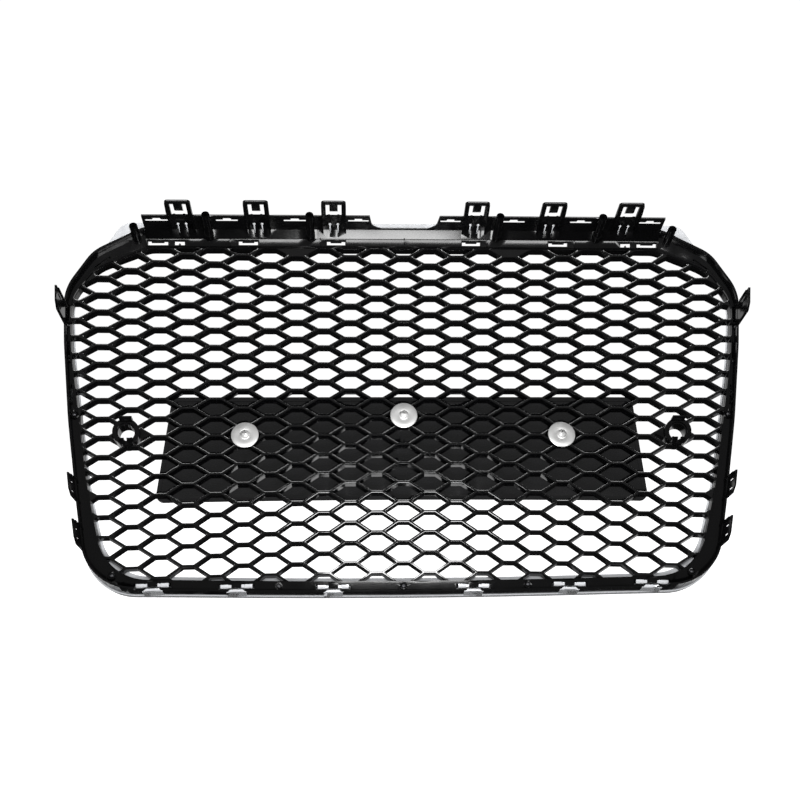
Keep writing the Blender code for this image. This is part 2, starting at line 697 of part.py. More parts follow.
# ---- plate board and its fixings -------------------------------------------------------------------------
def plate_board(material):
    outline = rounded([(BOARD_TOP_HALF, BOARD_TOP, BOARD_CORNER),
                       (BOARD_FOOT_HALF, BOARD_FOOT, BOARD_CORNER),
                       (-BOARD_FOOT_HALF, BOARD_FOOT, BOARD_CORNER),
                       (-BOARD_TOP_HALF, BOARD_TOP, BOARD_CORNER)])
    body = upright("plate_board", [outline], BOARD_REAR - BOARD_THICK, BOARD_REAR)
    seats = [rod("seat", x, z, SEAT_RADIUS, BOARD_REAR - 0.001, WASHER_FRONT - CLEARANCE)
             for x, z in BOARD_SEATS.values()]
    join(body, seats)
    holes = [rod("screw_hole", x, z, SHANK_RADIUS + 0.0005, BOARD_REAR + 0.001, 0.03, 8)
             for x, z in BOARD_SEATS.values()]
    cut(body, holes)
    split_along_x(body)
    return lay_on_face(body, material)


def washer(name, x, z, material):
    """Large flat washer. Its local Z runs to the rear."""
    hole = SHANK_RADIUS + 0.0004
    profile = [(hole, WASHER_THICK), (WASHER_RADIUS, WASHER_THICK), (WASHER_RADIUS, 0.0), (hole, 0.0)]
    return turned(name, profile, x, z, WASHER_FRONT, material)


def pan_screw(name, x, z, depth, head_radius, head_height, shank, material, sides=12):
    """Pan-head screw with its head's seat at the given depth."""
    profile = [(0.0, head_height), (0.6 * head_radius, head_height),
               (head_radius, 0.6 * head_height), (head_radius, 0.0), (SHANK_RADIUS, 0.0),
               (SHANK_RADIUS, -shank), (0.0, -shank)]
    return turned(name, profile, x, z, depth, material, sides)


# ---- sensor brackets -------------------------------------------------------------------------------------
def sensor_bracket(name, side, material):
    x, z = side * BRACKET_AT[0], BRACKET_AT[1]
    body = upright(name, [circle(x, z, BRACKET_RADIUS)], BRACKET_FRONT, BRACKET_REAR)
    arms = []
    for low, high in ((z + ARM_INNER, z + ARM_OUTER), (z - ARM_OUTER, z - ARM_INNER)):
        arms.append(block("arm", x - side * 0.001, BRACKET_REAR - 0.002, ARM_REAR, low, high,
                          ARM_WIDTH))
    join(body, arms)
    bore = upright("bore", [circle(x, z, BRACKET_BORE)], -0.03, 0.03)
    start, end = ARM_SLOT
    slots = [block("arm_slot", x - side * 0.001, ARM_REAR - start, ARM_REAR - end, z - 0.02,
                   z + 0.02, ARM_SLOT_WIDTH)]
    cut(body, [bore] + slots)
    return lay_on_face(body, material)


# ---- the whole grille ------------------------------------------------------------------------------------
for stale in list(bpy.data.objects):
    bpy.data.objects.remove(stale)
grille = bpy.data.collections.new("front_grille")
cutters = bpy.data.collections.new("cutters")
for group in (grille, cutters):
    bpy.context.scene.collection.children.link(group)

gloss_black = make_material("gloss_black", (0.012, 0.012, 0.013), 0.28, 0.0)
satin_black = make_material("satin_black", (0.020, 0.020, 0.021), 0.45, 0.0)
bright_trim = make_material("bright_trim", (0.62, 0.63, 0.65), 0.30, 1.0)
zinc_steel = make_material("zinc_steel", (0.78, 0.78, 0.78), 0.35, 1.0)
black_steel = make_material("black_steel", (0.030, 0.030, 0.032), 0.40, 1.0)

honeycomb_mesh(gloss_black)
carrier_frame(satin_black)
top_rail(satin_black)
chrome_surround(bright_trim)
plate_board(satin_black)
for word, (seat_x, seat_z) in BOARD_SEATS.items():
    washer("plate_washer_" + word, seat_x, seat_z, zinc_steel)
    pan_screw("plate_screw_" + word, seat_x, seat_z, WASHER_FRONT + WASHER_THICK + CLEARANCE,
              HEAD_RADIUS, HEAD_HEIGHT, PLATE_SHANK, zinc_steel)
for word, direction in (("left", 1), ("right", -1)):
    sensor_bracket("sensor_bracket_" + word, direction, satin_black)
for screw_name, (screw_x, screw_z) in screw_places().items():
    pan_screw(screw_name, screw_x, screw_z, BOSS_REAR + CASE_HEAD_GAP, CASE_HEAD_RADIUS,
              CASE_HEAD_HEIGHT, CASE_SHANK, black_steel, 10)
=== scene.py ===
"""Looks of the front grille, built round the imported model.

Every moulding is drawn again on a flat sheet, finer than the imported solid: x across the car, z up
the face, and depth along the draw direction of the mould, with depth 0 in the middle of the
honeycomb and positive to the rear. Its edges are rounded there, and lay_on_face() then carries it
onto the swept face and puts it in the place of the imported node.
"""

import math

import bmesh
import bpy
from mathutils import Matrix, Vector


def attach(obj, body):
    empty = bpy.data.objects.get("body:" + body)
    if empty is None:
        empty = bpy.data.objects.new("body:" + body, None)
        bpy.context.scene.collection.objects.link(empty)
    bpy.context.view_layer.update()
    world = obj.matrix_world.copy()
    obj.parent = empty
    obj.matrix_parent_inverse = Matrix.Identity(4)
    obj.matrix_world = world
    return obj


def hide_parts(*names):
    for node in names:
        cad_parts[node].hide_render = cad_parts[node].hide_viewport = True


# ---- the face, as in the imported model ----
DRAW_ANGLE = math.radians(26.7)
SWEEP_RISE = 0.043
SWEEP_SPAN = 0.4
SHEET_LIFT = 0.257
SHEET_BACK = -0.042
CLEARANCE = 0.0003

# ---- outlines: right half from the top centre to the foot's centre, (x, z, corner radius) ----
OUTER = [(0.0, 0.2097, 12.0), (0.318, 0.2025, 0.03), (0.376, 0.1725, 0.05),
         (0.4095, 0.125, 0.06), (0.4095, 0.06, 0.3), (0.4055, -0.03, 0.5),
         (0.3965, -0.135, 0.4), (0.386, -0.2355, 0.062), (0.0, -0.2525, 5.5)]
OPENING = [(0.0, 0.1912, 12.0), (0.313, 0.1845, 0.03), (0.374, 0.159, 0.05),
           (0.4044, 0.121, 0.05), (0.4044, 0.06, 0.4), (0.387, -0.105, 0.4),
           (0.366, -0.222, 0.062), (0.0, -0.2385, 5.5)]
SURROUND = [(0.0, 0.2302, 12.0), (0.346, 0.2215, 0.022), (0.38, 0.172, 0.08),
            (0.411, 0.122, 0.06), (0.411, 0.06, 0.3), (0.407, -0.03, 0.5),
            (0.398, -0.135, 0.4), (0.3875, -0.2368, 0.063), (0.0, -0.2541, 5.5)]
SURROUND_OPENING = [(0.0, 0.21, 12.0), (0.32, 0.2035, 0.03), (0.3775, 0.164, 0.05),
                    (0.403, 0.124, 0.05), (0.4022, 0.06, 0.4), (0.3848, -0.105, 0.4),
                    (0.3635, -0.2135, 0.06), (0.0, -0.2318, 5.5)]
ARC_STEP = math.radians(5)
ARC_CHORD = 0.03
STRAIGHT = math.radians(0.5)  # a corner that turns less than this isn't rounded
MITRE_LIMIT = 0.3

# ---- honeycomb ----
MESH_DEPTH = 0.011
MESH_RIM = 0.0024
COLUMN_PITCH = 0.03356
CELL_FLAT = 0.0145
COLUMNS_EACH_SIDE = 12
TOP_ROW_Z = 0.1892
ROW_PITCH_TOP = 0.0199
ROW_PITCH_FOOT = 0.0266
ROW_GROWTH = 1.4
ROWS = 18
SMALLEST_CELL = 20e-6
CELL_CORNER = 0.0011
CORNER_POINTS = 3
CORNER_REACH = 0.42  # largest share of an edge that a soft corner takes
SHORT_EDGES = (0.0022, 0.0035, 0.0055)
SOUND_SHARE = 0.05  # least share of an edge that is left after an inset
ON_LINE = 1e-9
RIM_ROUND = 0.0003
HONEYCOMB_SMOOTH = 7
# wall profile of a cell from the rear to the front: (depth, distance from the wall's middle)
CELL_PROFILE = [(0.0055, 0.00066), (0.00544, 0.001), (0.00536, 0.00126), (0.005, 0.00138),
                (0.0042, 0.00142), (0.00385, 0.0016), (-0.00505, 0.002), (-0.0054, 0.00188),
                (-0.0055, 0.00165)]

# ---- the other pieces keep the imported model's sizes ----
WALL = 0.0024
FLANGE_FRONT = MESH_DEPTH / 2 + CLEARANCE
FLANGE_THICK = 0.0025
FLANGE_REAR = FLANGE_FRONT + FLANGE_THICK
WALL_REAR = 0.02
LOW_WALL_REAR = 0.0105
SIDE_TABS = [(0.0965, 0.0255, 0.061, 0.001), (-0.1155, 0.0265, 0.044, 0.003),
             (-0.1735, 0.029, 0.048, 0.0025)]
CORNER_STUD = (0.327, 0.1935, 0.037)
STUD_RADIUS = 0.00485
STUD_HOLE = 0.0021
STUD_HOLE_DEPTH = 0.012
BOSS_RADIUS = 0.0046
BOSS_REAR = 0.0115
SCREW_HOLE = 0.0021
LOW_SCREWS = [(0.157, -0.2378), (0.0, -0.24), (-0.157, -0.2378)]
CORNER_SCREW = (0.358, -0.2185)
SIDE_SCREW = (0.4001, -0.0215)
SIDE_SLOTS = [(0.1025, 0.022), (0.057, 0.024), (0.006, 0.022)]
TOP_ZONE = (0.15, 0.25)  # heights between which the rail stands in for the wall
FOOT_ZONE = (-0.27, -0.19)  # heights between which the wall is low
FOOT_ZONE_WIDTH = 0.66
CHAMFER_SLOT = (0.3672, 0.164, 0.022, math.radians(-39))
RAIL_HALF = 0.3165
RAIL_TOP_Z = 0.207
RAIL_CROWN = 0.0045
RAIL_FRONT = FLANGE_REAR + CLEARANCE
RAIL_FLANGE = 0.002
RAIL_FLANGE_DROP = 0.0185
SHELF_REAR = 0.046
SHELF_THICK = 0.0024
STEP_REAR = 0.0187
STEP_DROP = 0.0085
NOTCH_HALF = 0.043
NOTCH_FRONT = 0.0195
TOP_TABS = [0.2712, 0.1802, 0.0872]
TAB_WIDTH = 0.03
TAB_REAR = 0.075
RAIL_STUDS = [0.2405, 0.1165]
RAIL_STUD_REAR = 0.057
RAIL_STUD_DROP = 0.0066
SHELF_SLOTS = [(0.3, 0.026), (0.217, 0.026), (0.135, 0.027), (0.057, 0.025)]
WINDOW_SILL = 0.0014
WINDOW_HEIGHT = 0.0056
NARROW_WINDOW = 0.015  # narrower windows are plain, with a round nib in the foot
FLANGE_WINDOWS = [(0.3023, 0.024), (0.2764, 0.013), (0.1936, 0.0235), (0.0849, 0.0228)]
SURROUND_REAR = -MESH_DEPTH / 2 - CLEARANCE
SURROUND_FRONT = SURROUND_REAR - 0.0125
HOOK_X = [0.3105, 0.2092, 0.0888]
HOOK_WIDTH = 0.04
HOOK_Z = -0.2405
HOOK_RISE = 0.009  # how much higher a hook sits at HOOK_RISE_SPAN from the middle
HOOK_RISE_SPAN = 0.32
HOOK_WINDOW_HALF = 0.003
HOOK_HEIGHT = 0.0045
HOOK_REAR = 0.012
HOOK_POST_X = 0.0148
HOOK_POST_WIDTH = 0.0095
HOOK_BRIDGE_WIDTH = 0.024
HOOK_BASE = (0.012, 0.0075)  # half widths of the base plate at its foot and top
HOOK_BASE_DROP = (0.008, 0.0042)  # and how far these lie under the hook's middle
SIDE_HOOKS = [0.068, -0.06, -0.086]
SIDE_HOOK_HEIGHT = 0.013
SIDE_HOOK_THICK = 0.0009
SURROUND_BOSS = 0.0036
BOARD_TOP = 0.0064
BOARD_FOOT = -0.124
BOARD_TOP_HALF = 0.2885
BOARD_FOOT_HALF = 0.31
BOARD_CORNER = 0.009
BOARD_ARC_STEP = math.radians(10)
BOARD_EDGE_ROUND = 0.0005
BOARD_REAR = SURROUND_REAR - CLEARANCE
BOARD_THICK = 0.003
BOARD_SEATS = {"left": (0.198, -0.05), "centre": (0.0, -0.0262), "right": (-0.198, -0.05)}
SEAT_RADIUS = 0.0035
WASHER_FRONT = 0.0156
WASHER_RADIUS = 0.017
WASHER_THICK = 0.0015
HEAD_RADIUS = 0.005
HEAD_HEIGHT = 0.006
SHANK_RADIUS = 0.0015
PLATE_SHANK = 0.016
SURROUND_SCREW = (0.0031, 0.0022, 0.0185)  # radius and height of the head, length of the shank
SURROUND_SCREW_REAR = BOSS_REAR + 0.0006
BRACKET_AT = (0.3408, -0.043)
BRACKET_RADIUS = 0.016
BRACKET_BORE = 0.0098
BRACKET_FRONT = -0.008
BRACKET_REAR = 0.012
ARM_REAR = 0.023
ARM_HALF = 0.0075
ARM_SHIFT = 0.001  # how far the arms stand inwards of the tube's axis

# ---- camera ----
CAMERA_DISTANCE = 1.4
CAMERA_NEAR = 0.01
SENSOR_WIDTH = 36.0
CAMERA_AZIMUTH = math.radians(177.6)
CAMERA_ELEVATION = math.radians(1.0)
LENS = 49.59
ASIDE = 0.0042  # how far the view's middle lies to the side of the sheet's middle

# ---- floor, world and lights ----
FLOOR_RADIUS = 3.0
FLOOR_SIDES = 96
FLOOR_GLOW = 1.0
FLOOR_SHADE = 0.8
FLOOR_ROUGHNESS = 0.9
WORLD_WHITE = 1.05
WORLD_SKY = (0.38, 0.52)  # direction height where the white fades into the sky
WORLD_SKY_SHADE = 0.03
WORLD_GROUND = (-0.54, -0.39)  # and where it starts above the ground
WORLD_GROUND_SHADE = 0.03
WORLD_REAR = (0.15, 0.75)  # direction depth where the white fades to the rear
WORLD_BACK = 0.4  # share of the white that is left there
# name: (place, target, width, height, power)
LIGHTS = {"rear_strip": ((0.0, 1.85, 1.14), (0.0, 0.0, 0.27), 1.6, 0.24, 40.0),
          "overhead": ((0.0, -0.3, 1.7), (0.0, 0.0, 0.3), 1.6, 0.5, 7.0),
          "low_card": ((0.0, 0.19, 0.004), (0.0, 0.19, 1.0), 0.17, 0.14, 3.4)}

# ---- looks ----
# plastics: (colour, roughness, grain, specular level)
GLOSS_BLACK = ((0.0007, 0.0007, 0.0008), 0.1, 0.1, 0.33)
SATIN_BLACK = ((0.0008, 0.0008, 0.0009), 0.14, 0.2, 0.17)
BOARD_BLACK = ((0.0016, 0.0016, 0.0018), 0.11, 0.15, 0.38)
GRAIN_SCALE = 2600.0
GRAIN_DEPTH = 0.000012
FLOW_SCALE = 28.0
FLOW_GLOSS = (-0.06, 0.07)  # how far the flow marks move the roughness
WORN_EDGE = (0.52, 0.62)  # pointiness where the wear starts and is full
WORN_TINT = (1.3, 0.0002)  # factor and addend of a worn edge's colour
# metals: (colour, roughness, scale of the marks, their height, metallic)
BRIGHT_TRIM = ((0.6, 0.61, 0.63), 0.2, 900.0, 0.05, 1.0)
ZINC_STEEL = ((0.43, 0.43, 0.425), 0.34, 700.0, 0.12, 0.45)
BLACK_STEEL = ((0.045, 0.045, 0.048), 0.38, 900.0, 0.12, 1.0)
MARK_DEPTH = 0.00005
PATCH_SCALE = 60.0
PATCH_GLOSS = (-0.07, 0.09)
PATCH_SHADE = 0.9
REAR_FACING = (0.35, 0.6)  # how far a face looks to the rear where its plating thins out
REAR_METALLIC = 0.25

# ---- edges and steps of the drawn solids ----

EDGE_STEP = 0.012  # widest flat strip of a swept surface
EDGE_ROUND = 0.00035
HOOK_EDGE_ROUND = 0.0002
BRACKET_EDGE_ROUND = 0.0003
BEVEL_SEGMENTS = 2
BEVEL_ANGLE = math.radians(35)
SMOOTH_ANGLE = 30
TURNED_SMOOTH = 32
WELD = 2e-6  # distance below which vertices become one
FILL_WELD = 1e-6
ROD_SIDES = 32
TURNED_SIDES = 64
TUBE_SIDES = 96
FLANGE_RIBS = [0.2155, 0.1045, -0.0009, -0.105, -0.2137]
OUTER_DOME = (0.0026, 0.006)  # width and depth of the rounded edges of the surround's front
INNER_DOME = (0.0056, 0.0112)
DOME_STEPS = 7
THREAD_PITCH = 0.0012
THREAD = [(0.8, 0.2), (0.8, 0.55), (1.0, 0.8)]  # shares of the shank's radius and the pitch
# shares of a screw head's radius and height, from the top
HEAD_PROFILE = [(0.0, 1.0), (0.35, 0.985), (0.62, 0.92), (0.82, 0.8), (0.94, 0.62), (1.0, 0.38),
                (1.0, 0.1), (0.96, 0.0)]


# ---- the swept face ----
def on_face(x, depth, z):
    """World position of a point of the flat sheet."""
    swept = SHEET_BACK + SWEEP_RISE * (x / SWEEP_SPAN) ** 2
    return Vector((x, swept + depth * math.cos(DRAW_ANGLE),
                   SHEET_LIFT + z + depth * math.sin(DRAW_ANGLE)))


def both(values):
    """Each value to the right and to the left."""
    return [side * value for value in values for side in (1, -1)]


def rail_top(x):
    return RAIL_TOP_Z - RAIL_CROWN * (x / RAIL_HALF) ** 2


# ---- outlines ----
def rounded(corners, arc_step=ARC_STEP):
    """Closed loop through corners (x, z, radius), each rounded by an arc."""
    loop = []
    for index, (x, z, radius) in enumerate(corners):
        here = Vector((x, z))
        back = Vector(corners[index - 1][:2]) - here
        ahead = Vector(corners[(index + 1) % len(corners)][:2]) - here
        turn = math.pi - back.angle(ahead)
        if radius <= 0.0 or turn < STRAIGHT:
            loop.append(here)
            continue
        reach = radius * math.tan(turn / 2)
        middle = (back.normalized() + ahead.normalized()).normalized()
        centre = here + middle * (radius / math.cos(turn / 2))
        first = here + back.normalized() * reach - centre
        side = 1.0 if back.x * ahead.y - back.y * ahead.x < 0 else -1.0
        steps = max(2, math.ceil(turn / arc_step), math.ceil(turn * radius / ARC_CHORD))
        for step in range(steps + 1):
            loop.append(centre + Matrix.Rotation(side * turn * step / steps, 2) @ first)
    return loop


def symmetric(half):
    """Whole outline from its right half, which starts and ends on the centre line."""
    return rounded(half + [(-x, z, radius) for x, z, radius in reversed(half[1:-1])])


def inset(loop, distance):
    """The loop moved inwards by a distance, or outwards by a negative one."""
    twice_area = sum(a.x * b.y - b.x * a.y for a, b in zip(loop, loop[1:] + loop[:1]))
    inwards = 1.0 if twice_area > 0 else -1.0
    moved = []
    for index, here in enumerate(loop):
        before = (here - loop[index - 1]).normalized()
        after = (loop[(index + 1) % len(loop)] - here).normalized()
        normal = Vector((-before.y - after.y, before.x + after.x)).normalized() * inwards
        stretch = abs(normal.x * before.y - normal.y * before.x)
        moved.append(here + normal * (distance / max(stretch, MITRE_LIMIT)))
    return moved


def circle(x, z, radius, count=48):
    return [Vector((x + radius * math.cos(math.tau * i / count),
                    z + radius * math.sin(math.tau * i / count))) for i in range(count)]


# ---- flat solids ----
def solid_from_loops(name, loops, thickness):
    """Mesh object of a filled 2D curve: the first loop is the outside and the others are holes."""
    curve = bpy.data.curves.new(name, "CURVE")
    curve.dimensions = "2D"
    curve.fill_mode = "BOTH"
    curve.extrude = thickness / 2
    for loop in loops:
        spline = curve.splines.new("POLY")
        spline.points.add(len(loop) - 1)
        for point, corner in zip(spline.points, loop):
            point.co = (*corner, 0.0, 1.0)
        spline.use_cyclic_u = True
    outline = bpy.data.objects.new(name + "_outline", curve)
    bpy.context.scene.collection.objects.link(outline)
    depsgraph = bpy.context.evaluated_depsgraph_get()
    mesh = bpy.data.meshes.new_from_object(outline.evaluated_get(depsgraph))
    bpy.data.objects.remove(outline)
    bpy.data.curves.remove(curve)
    shape = bmesh.new()
    shape.from_mesh(mesh)
    bmesh.ops.remove_doubles(shape, verts=shape.verts, dist=FILL_WELD)
    bmesh.ops.recalc_face_normals(shape, faces=shape.faces)
    shape.to_mesh(mesh)
    shape.free()
    return link(name, mesh)


def link(name, mesh):
    body = bpy.data.objects.new(name, mesh)
    bpy.context.scene.collection.objects.link(body)
    return body


def solid_from_shape(name, shape):
    """Mesh object of a finished bmesh, with its faces pointing out."""
    bmesh.ops.recalc_face_normals(shape, faces=shape.faces)
    mesh = bpy.data.meshes.new(name)
    shape.to_mesh(mesh)
    shape.free()
    return link(name, mesh)


def move_vertices(body, place):
    """Replace each vertex by place(vertex) and keep the faces pointing out."""
    for vertex in body.data.vertices:
        vertex.co = place(vertex.co)
    shape = bmesh.new()
    shape.from_mesh(body.data)
    bmesh.ops.recalc_face_normals(shape, faces=shape.faces)
    shape.to_mesh(body.data)
    shape.free()
    return body


def upright(name, loops, front, rear):
    """Plate parallel to the face, from depth front to depth rear."""
    body = solid_from_loops(name, loops, rear - front)
    middle = (front + rear) / 2
    return move_vertices(body, lambda co: Vector((co.x, middle - co.z, co.y)))


def level(name, loops, low, high):
    """Plate drawn in x and depth, from z low to z high."""
    body = solid_from_loops(name, loops, high - low)
    middle = (low + high) / 2
    return move_vertices(body, lambda co: Vector((co.x, co.y, middle + co.z)))


def bar(name, profile, left, right):
    """Bar along x with a profile drawn in depth and z."""
    body = solid_from_loops(name, [profile], right - left)
    middle = (left + right) / 2
    return move_vertices(body, lambda co: Vector((middle + co.z, co.x, co.y)))


def block(name, x, front, rear, low, high, width):
    profile = [(front, low), (rear, low), (rear, high), (front, high)]
    return bar(name, profile, x - width / 2, x + width / 2)


def rod(name, x, z, radius, front, rear, square_end=True):
    """Round rod along the draw direction. Its front end lies along the face, and its rear end can
    be square to the rod's axis."""
    body = solid_from_loops(name, [circle(0, 0, radius, ROD_SIDES)], rear - front)
    middle = (front + rear) / 2

    def place(co):
        rise = co.y / math.cos(DRAW_ANGLE)
        slant = rise * math.sin(DRAW_ANGLE) if square_end and co.z < 0 else 0.0
        return Vector((x + co.x, middle - co.z - slant, z + rise))

    return move_vertices(body, place)


def combine(body, others, operation):
    """Join the others to the body, or cut them from it, one after the other."""
    for other in others:
        modifier = body.modifiers.new(other.name, "BOOLEAN")
        modifier.operation = operation
        modifier.object = other
    apply_modifiers(body)
    for other in others:
        bpy.data.objects.remove(other)


def join(body, others):
    combine(body, others, "UNION")


def cut(body, others):
    combine(body, others, "DIFFERENCE")


def apply_modifiers(body):
    depsgraph = bpy.context.evaluated_depsgraph_get()
    mesh = bpy.data.meshes.new_from_object(body.evaluated_get(depsgraph))
    body.modifiers.clear()
    body.data = mesh


def round_edges(body, width):
    """Merge flat faces and bevel every edge sharper than BEVEL_ANGLE."""
    shape = bmesh.new()
    shape.from_mesh(body.data)
    bmesh.ops.dissolve_limit(shape, angle_limit=STRAIGHT, verts=shape.verts, edges=shape.edges)
    shape.to_mesh(body.data)
    shape.free()
    bevel = body.modifiers.new("Edges", "BEVEL")
    bevel.width = width
    bevel.segments = BEVEL_SEGMENTS
    bevel.limit_method = "ANGLE"
    bevel.angle_limit = BEVEL_ANGLE
    bevel.use_clamp_overlap = True
    apply_modifiers(body)


def split_along_x(body):
    """Cut the faces into strips, so that the sweep and the crown bend them smoothly."""
    shape = bmesh.new()
    shape.from_mesh(body.data)
    half = max(abs(vertex.co.x) for vertex in shape.verts)
    count = math.floor(half / EDGE_STEP)
    for index in range(-count, count + 1):
        place = index * EDGE_STEP
        near = [face for face in shape.faces
                if min(v.co.x for v in face.verts) < place < max(v.co.x for v in face.verts)]
        if near:
            parts = near + list({e for f in near for e in f.edges})
            parts += list({v for f in near for v in f.verts})
            bmesh.ops.bisect_plane(shape, geom=parts, dist=FILL_WELD, plane_co=(place, 0, 0),
                                   plane_no=(1, 0, 0))
    shape.to_mesh(body.data)
    shape.free()


def lay_on_face(body, node, material, smooth=SMOOTH_ANGLE):
    """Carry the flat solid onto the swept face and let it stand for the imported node."""
    split_along_x(body)
    move_vertices(body, lambda co: on_face(*co))
    adopt(body, node, material, smooth)


def adopt(body, node, material, smooth):
    """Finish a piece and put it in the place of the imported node."""
    body.name = node + "_piece"
    body.data.materials.clear()
    body.data.materials.append(material)
    body.data.shade_smooth()
    body.data.set_sharp_from_angle(angle=math.radians(smooth))
    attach(body, "root")
    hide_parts(node)


# ---- materials ----
def wire(tree, node, sockets):
    """Give each named input its number or colour, or link it from another node's output."""
    for name, value in sockets.items():
        if isinstance(value, bpy.types.NodeSocket):
            tree.links.new(value, node.inputs[name])
        else:
            node.inputs[name].default_value = value


def add_node(tree, kind, sockets=None, **settings):
    node = tree.nodes.new("ShaderNode" + kind)
    for name, value in settings.items():
        setattr(node, name, value)
    wire(tree, node, sockets or {})
    return node


def noise(tree, place, scale, detail):
    sockets = {"Vector": place, "Scale": scale, "Detail": detail}
    return add_node(tree, "TexNoise", sockets).outputs["Fac"]


def ramp(tree, value, start, end, low, high, interpolation="LINEAR"):
    """Output that runs from low to high while the value runs from start to end."""
    sockets = {"Value": value, "From Min": start, "From Max": end, "To Min": low, "To Max": high}
    node = add_node(tree, "MapRange", sockets, interpolation_type=interpolation)
    return node.outputs["Result"]


def blend(tree, share, first, second):
    sockets = {"A": (*first, 1.0), "B": (*second, 1.0), "Factor": share}
    return add_node(tree, "Mix", sockets, data_type="RGBA").outputs["Result"]


def bump(tree, height, strength, depth):
    sockets = {"Height": height, "Strength": strength, "Distance": depth}
    return add_node(tree, "Bump", sockets).outputs["Normal"]


def new_material(name):
    """Material, its node tree, its shader and the place on the object."""
    material = bpy.data.materials.new(name)
    material.use_nodes = True
    tree = material.node_tree
    place = add_node(tree, "TexCoord").outputs["Object"]
    return material, tree, tree.nodes["Principled BSDF"], place


def plastic(name, colour, roughness, grain, specular):
    """Moulded plastic: a fine grain, soft flow marks in the gloss and paler, worn edges."""
    material, tree, shader, place = new_material(name)
    flow = noise(tree, place, FLOW_SCALE, 3.0)
    gloss = [roughness + change for change in FLOW_GLOSS]
    pointiness = add_node(tree, "NewGeometry").outputs["Pointiness"]
    worn = [min(1.0, WORN_TINT[0] * c + WORN_TINT[1]) for c in colour]
    wire(tree, shader, {
        "Specular IOR Level": specular,
        "Roughness": ramp(tree, flow, 0.0, 1.0, *gloss),
        "Base Color": blend(tree, ramp(tree, pointiness, *WORN_EDGE, 0.0, 1.0), colour, worn),
        "Normal": bump(tree, noise(tree, place, GRAIN_SCALE, 2.0), grain, GRAIN_DEPTH)})
    return material


def dull_back(material):
    """Leave the faces that look to the rear with a thin, pale plating."""
    tree = material.node_tree
    normal = add_node(tree, "TexCoord").outputs["Normal"]
    rearward = add_node(tree, "SeparateXYZ", {"Vector": normal}).outputs["Y"]
    plated = ramp(tree, rearward, *REAR_FACING, 1.0, REAR_METALLIC)
    wire(tree, tree.nodes["Principled BSDF"], {"Metallic": plated})
    return material


def metal(name, colour, roughness, scale, grain, metallic):
    """Plated or zinc-coated metal with fine marks and a patchy gloss."""
    material, tree, shader, place = new_material(name)
    patches = noise(tree, place, PATCH_SCALE, 4.0)
    gloss = [roughness + change for change in PATCH_GLOSS]
    wire(tree, shader, {
        "Metallic": metallic,
        "Roughness": ramp(tree, patches, 0.0, 1.0, *gloss),
        "Base Color": blend(tree, patches, [PATCH_SHADE * c for c in colour], colour),
        "Normal": bump(tree, noise(tree, place, scale, 3.0), grain, MARK_DEPTH)})
    return material


# ---- honeycomb ----
def row_heights():
    """Sheet z at every half row, from one half row above the top row to past the foot."""
    z = TOP_ROW_Z + ROW_PITCH_TOP / 2
    heights = [z]
    for half_row in range(2 * ROWS + 4):
        share = half_row / (2 * ROWS)
        z -= (ROW_PITCH_TOP + (ROW_PITCH_FOOT - ROW_PITCH_TOP) * share ** ROW_GROWTH) / 2
        heights.append(z)
    return heights


def clipped(polygon, window):
    """The part of a polygon inside a convex window that runs clockwise."""
    for start, end in zip(window, window[1:] + window[:1]):
        along = end - start

        def beyond(point):
            return along.x * (point.y - start.y) - along.y * (point.x - start.x)

        kept = []
        for index, here in enumerate(polygon):
            before = polygon[index - 1]
            if (beyond(here) < ON_LINE) != (beyond(before) < ON_LINE):
                share = beyond(before) / (beyond(before) - beyond(here))
                kept.append(before + (here - before) * share)
            if beyond(here) < ON_LINE:
                kept.append(here)
        polygon = kept
        if len(polygon) < 3:
            return []
    return polygon


def without_short_edges(polygon, shortest):
    kept = []
    for point in polygon:
        if not kept or (point - kept[-1]).length > shortest:
            kept.append(point)
    while len(kept) > 2 and (kept[0] - kept[-1]).length < shortest:
        kept.pop()
    return kept


def area(polygon):
    pairs = zip(polygon, polygon[1:] + polygon[:1])
    return abs(sum(a.x * b.y - b.x * a.y for a, b in pairs)) / 2


def cell_outlines(window):
    """Six-sided cells out to the wall middles, cut off at the window."""
    heights = row_heights()
    flat = CELL_FLAT / 2
    tip = COLUMN_PITCH - flat
    cells = []
    for column in range(-COLUMNS_EACH_SIDE, COLUMNS_EACH_SIDE + 1):
        x = column * COLUMN_PITCH
        for row in range(1 if column % 2 == 0 else 2, len(heights) - 1, 2):
            top, middle, foot = heights[row - 1], heights[row], heights[row + 1]
            hexagon = [(x - flat, top), (x + flat, top), (x + tip, middle), (x + flat, foot),
                       (x - flat, foot), (x - tip, middle)]
            cells.append(clipped([Vector(corner) for corner in hexagon], window))
    return [cell for cell in cells if len(cell) >= 3]


def stays_sound(polygon, moved):
    """Whether every edge of the moved polygon still runs its own way."""
    edges = zip(polygon, polygon[1:] + polygon[:1], moved, moved[1:] + moved[:1])
    return all((b - a).dot(d - c) > SOUND_SHARE * (b - a).length_squared
               for a, b, c, d in edges)


def usable(cell, thickest):
    """The cell with as few short edges dropped as its walls need, or nothing for a mere sliver."""
    for shortest in SHORT_EDGES:
        trimmed = without_short_edges(cell, shortest)
        if len(trimmed) < 3:
            return None
        inner = inset(trimmed, thickest)
        if stays_sound(trimmed, inner) and area(inner) > SMALLEST_CELL:
            return trimmed
    return None


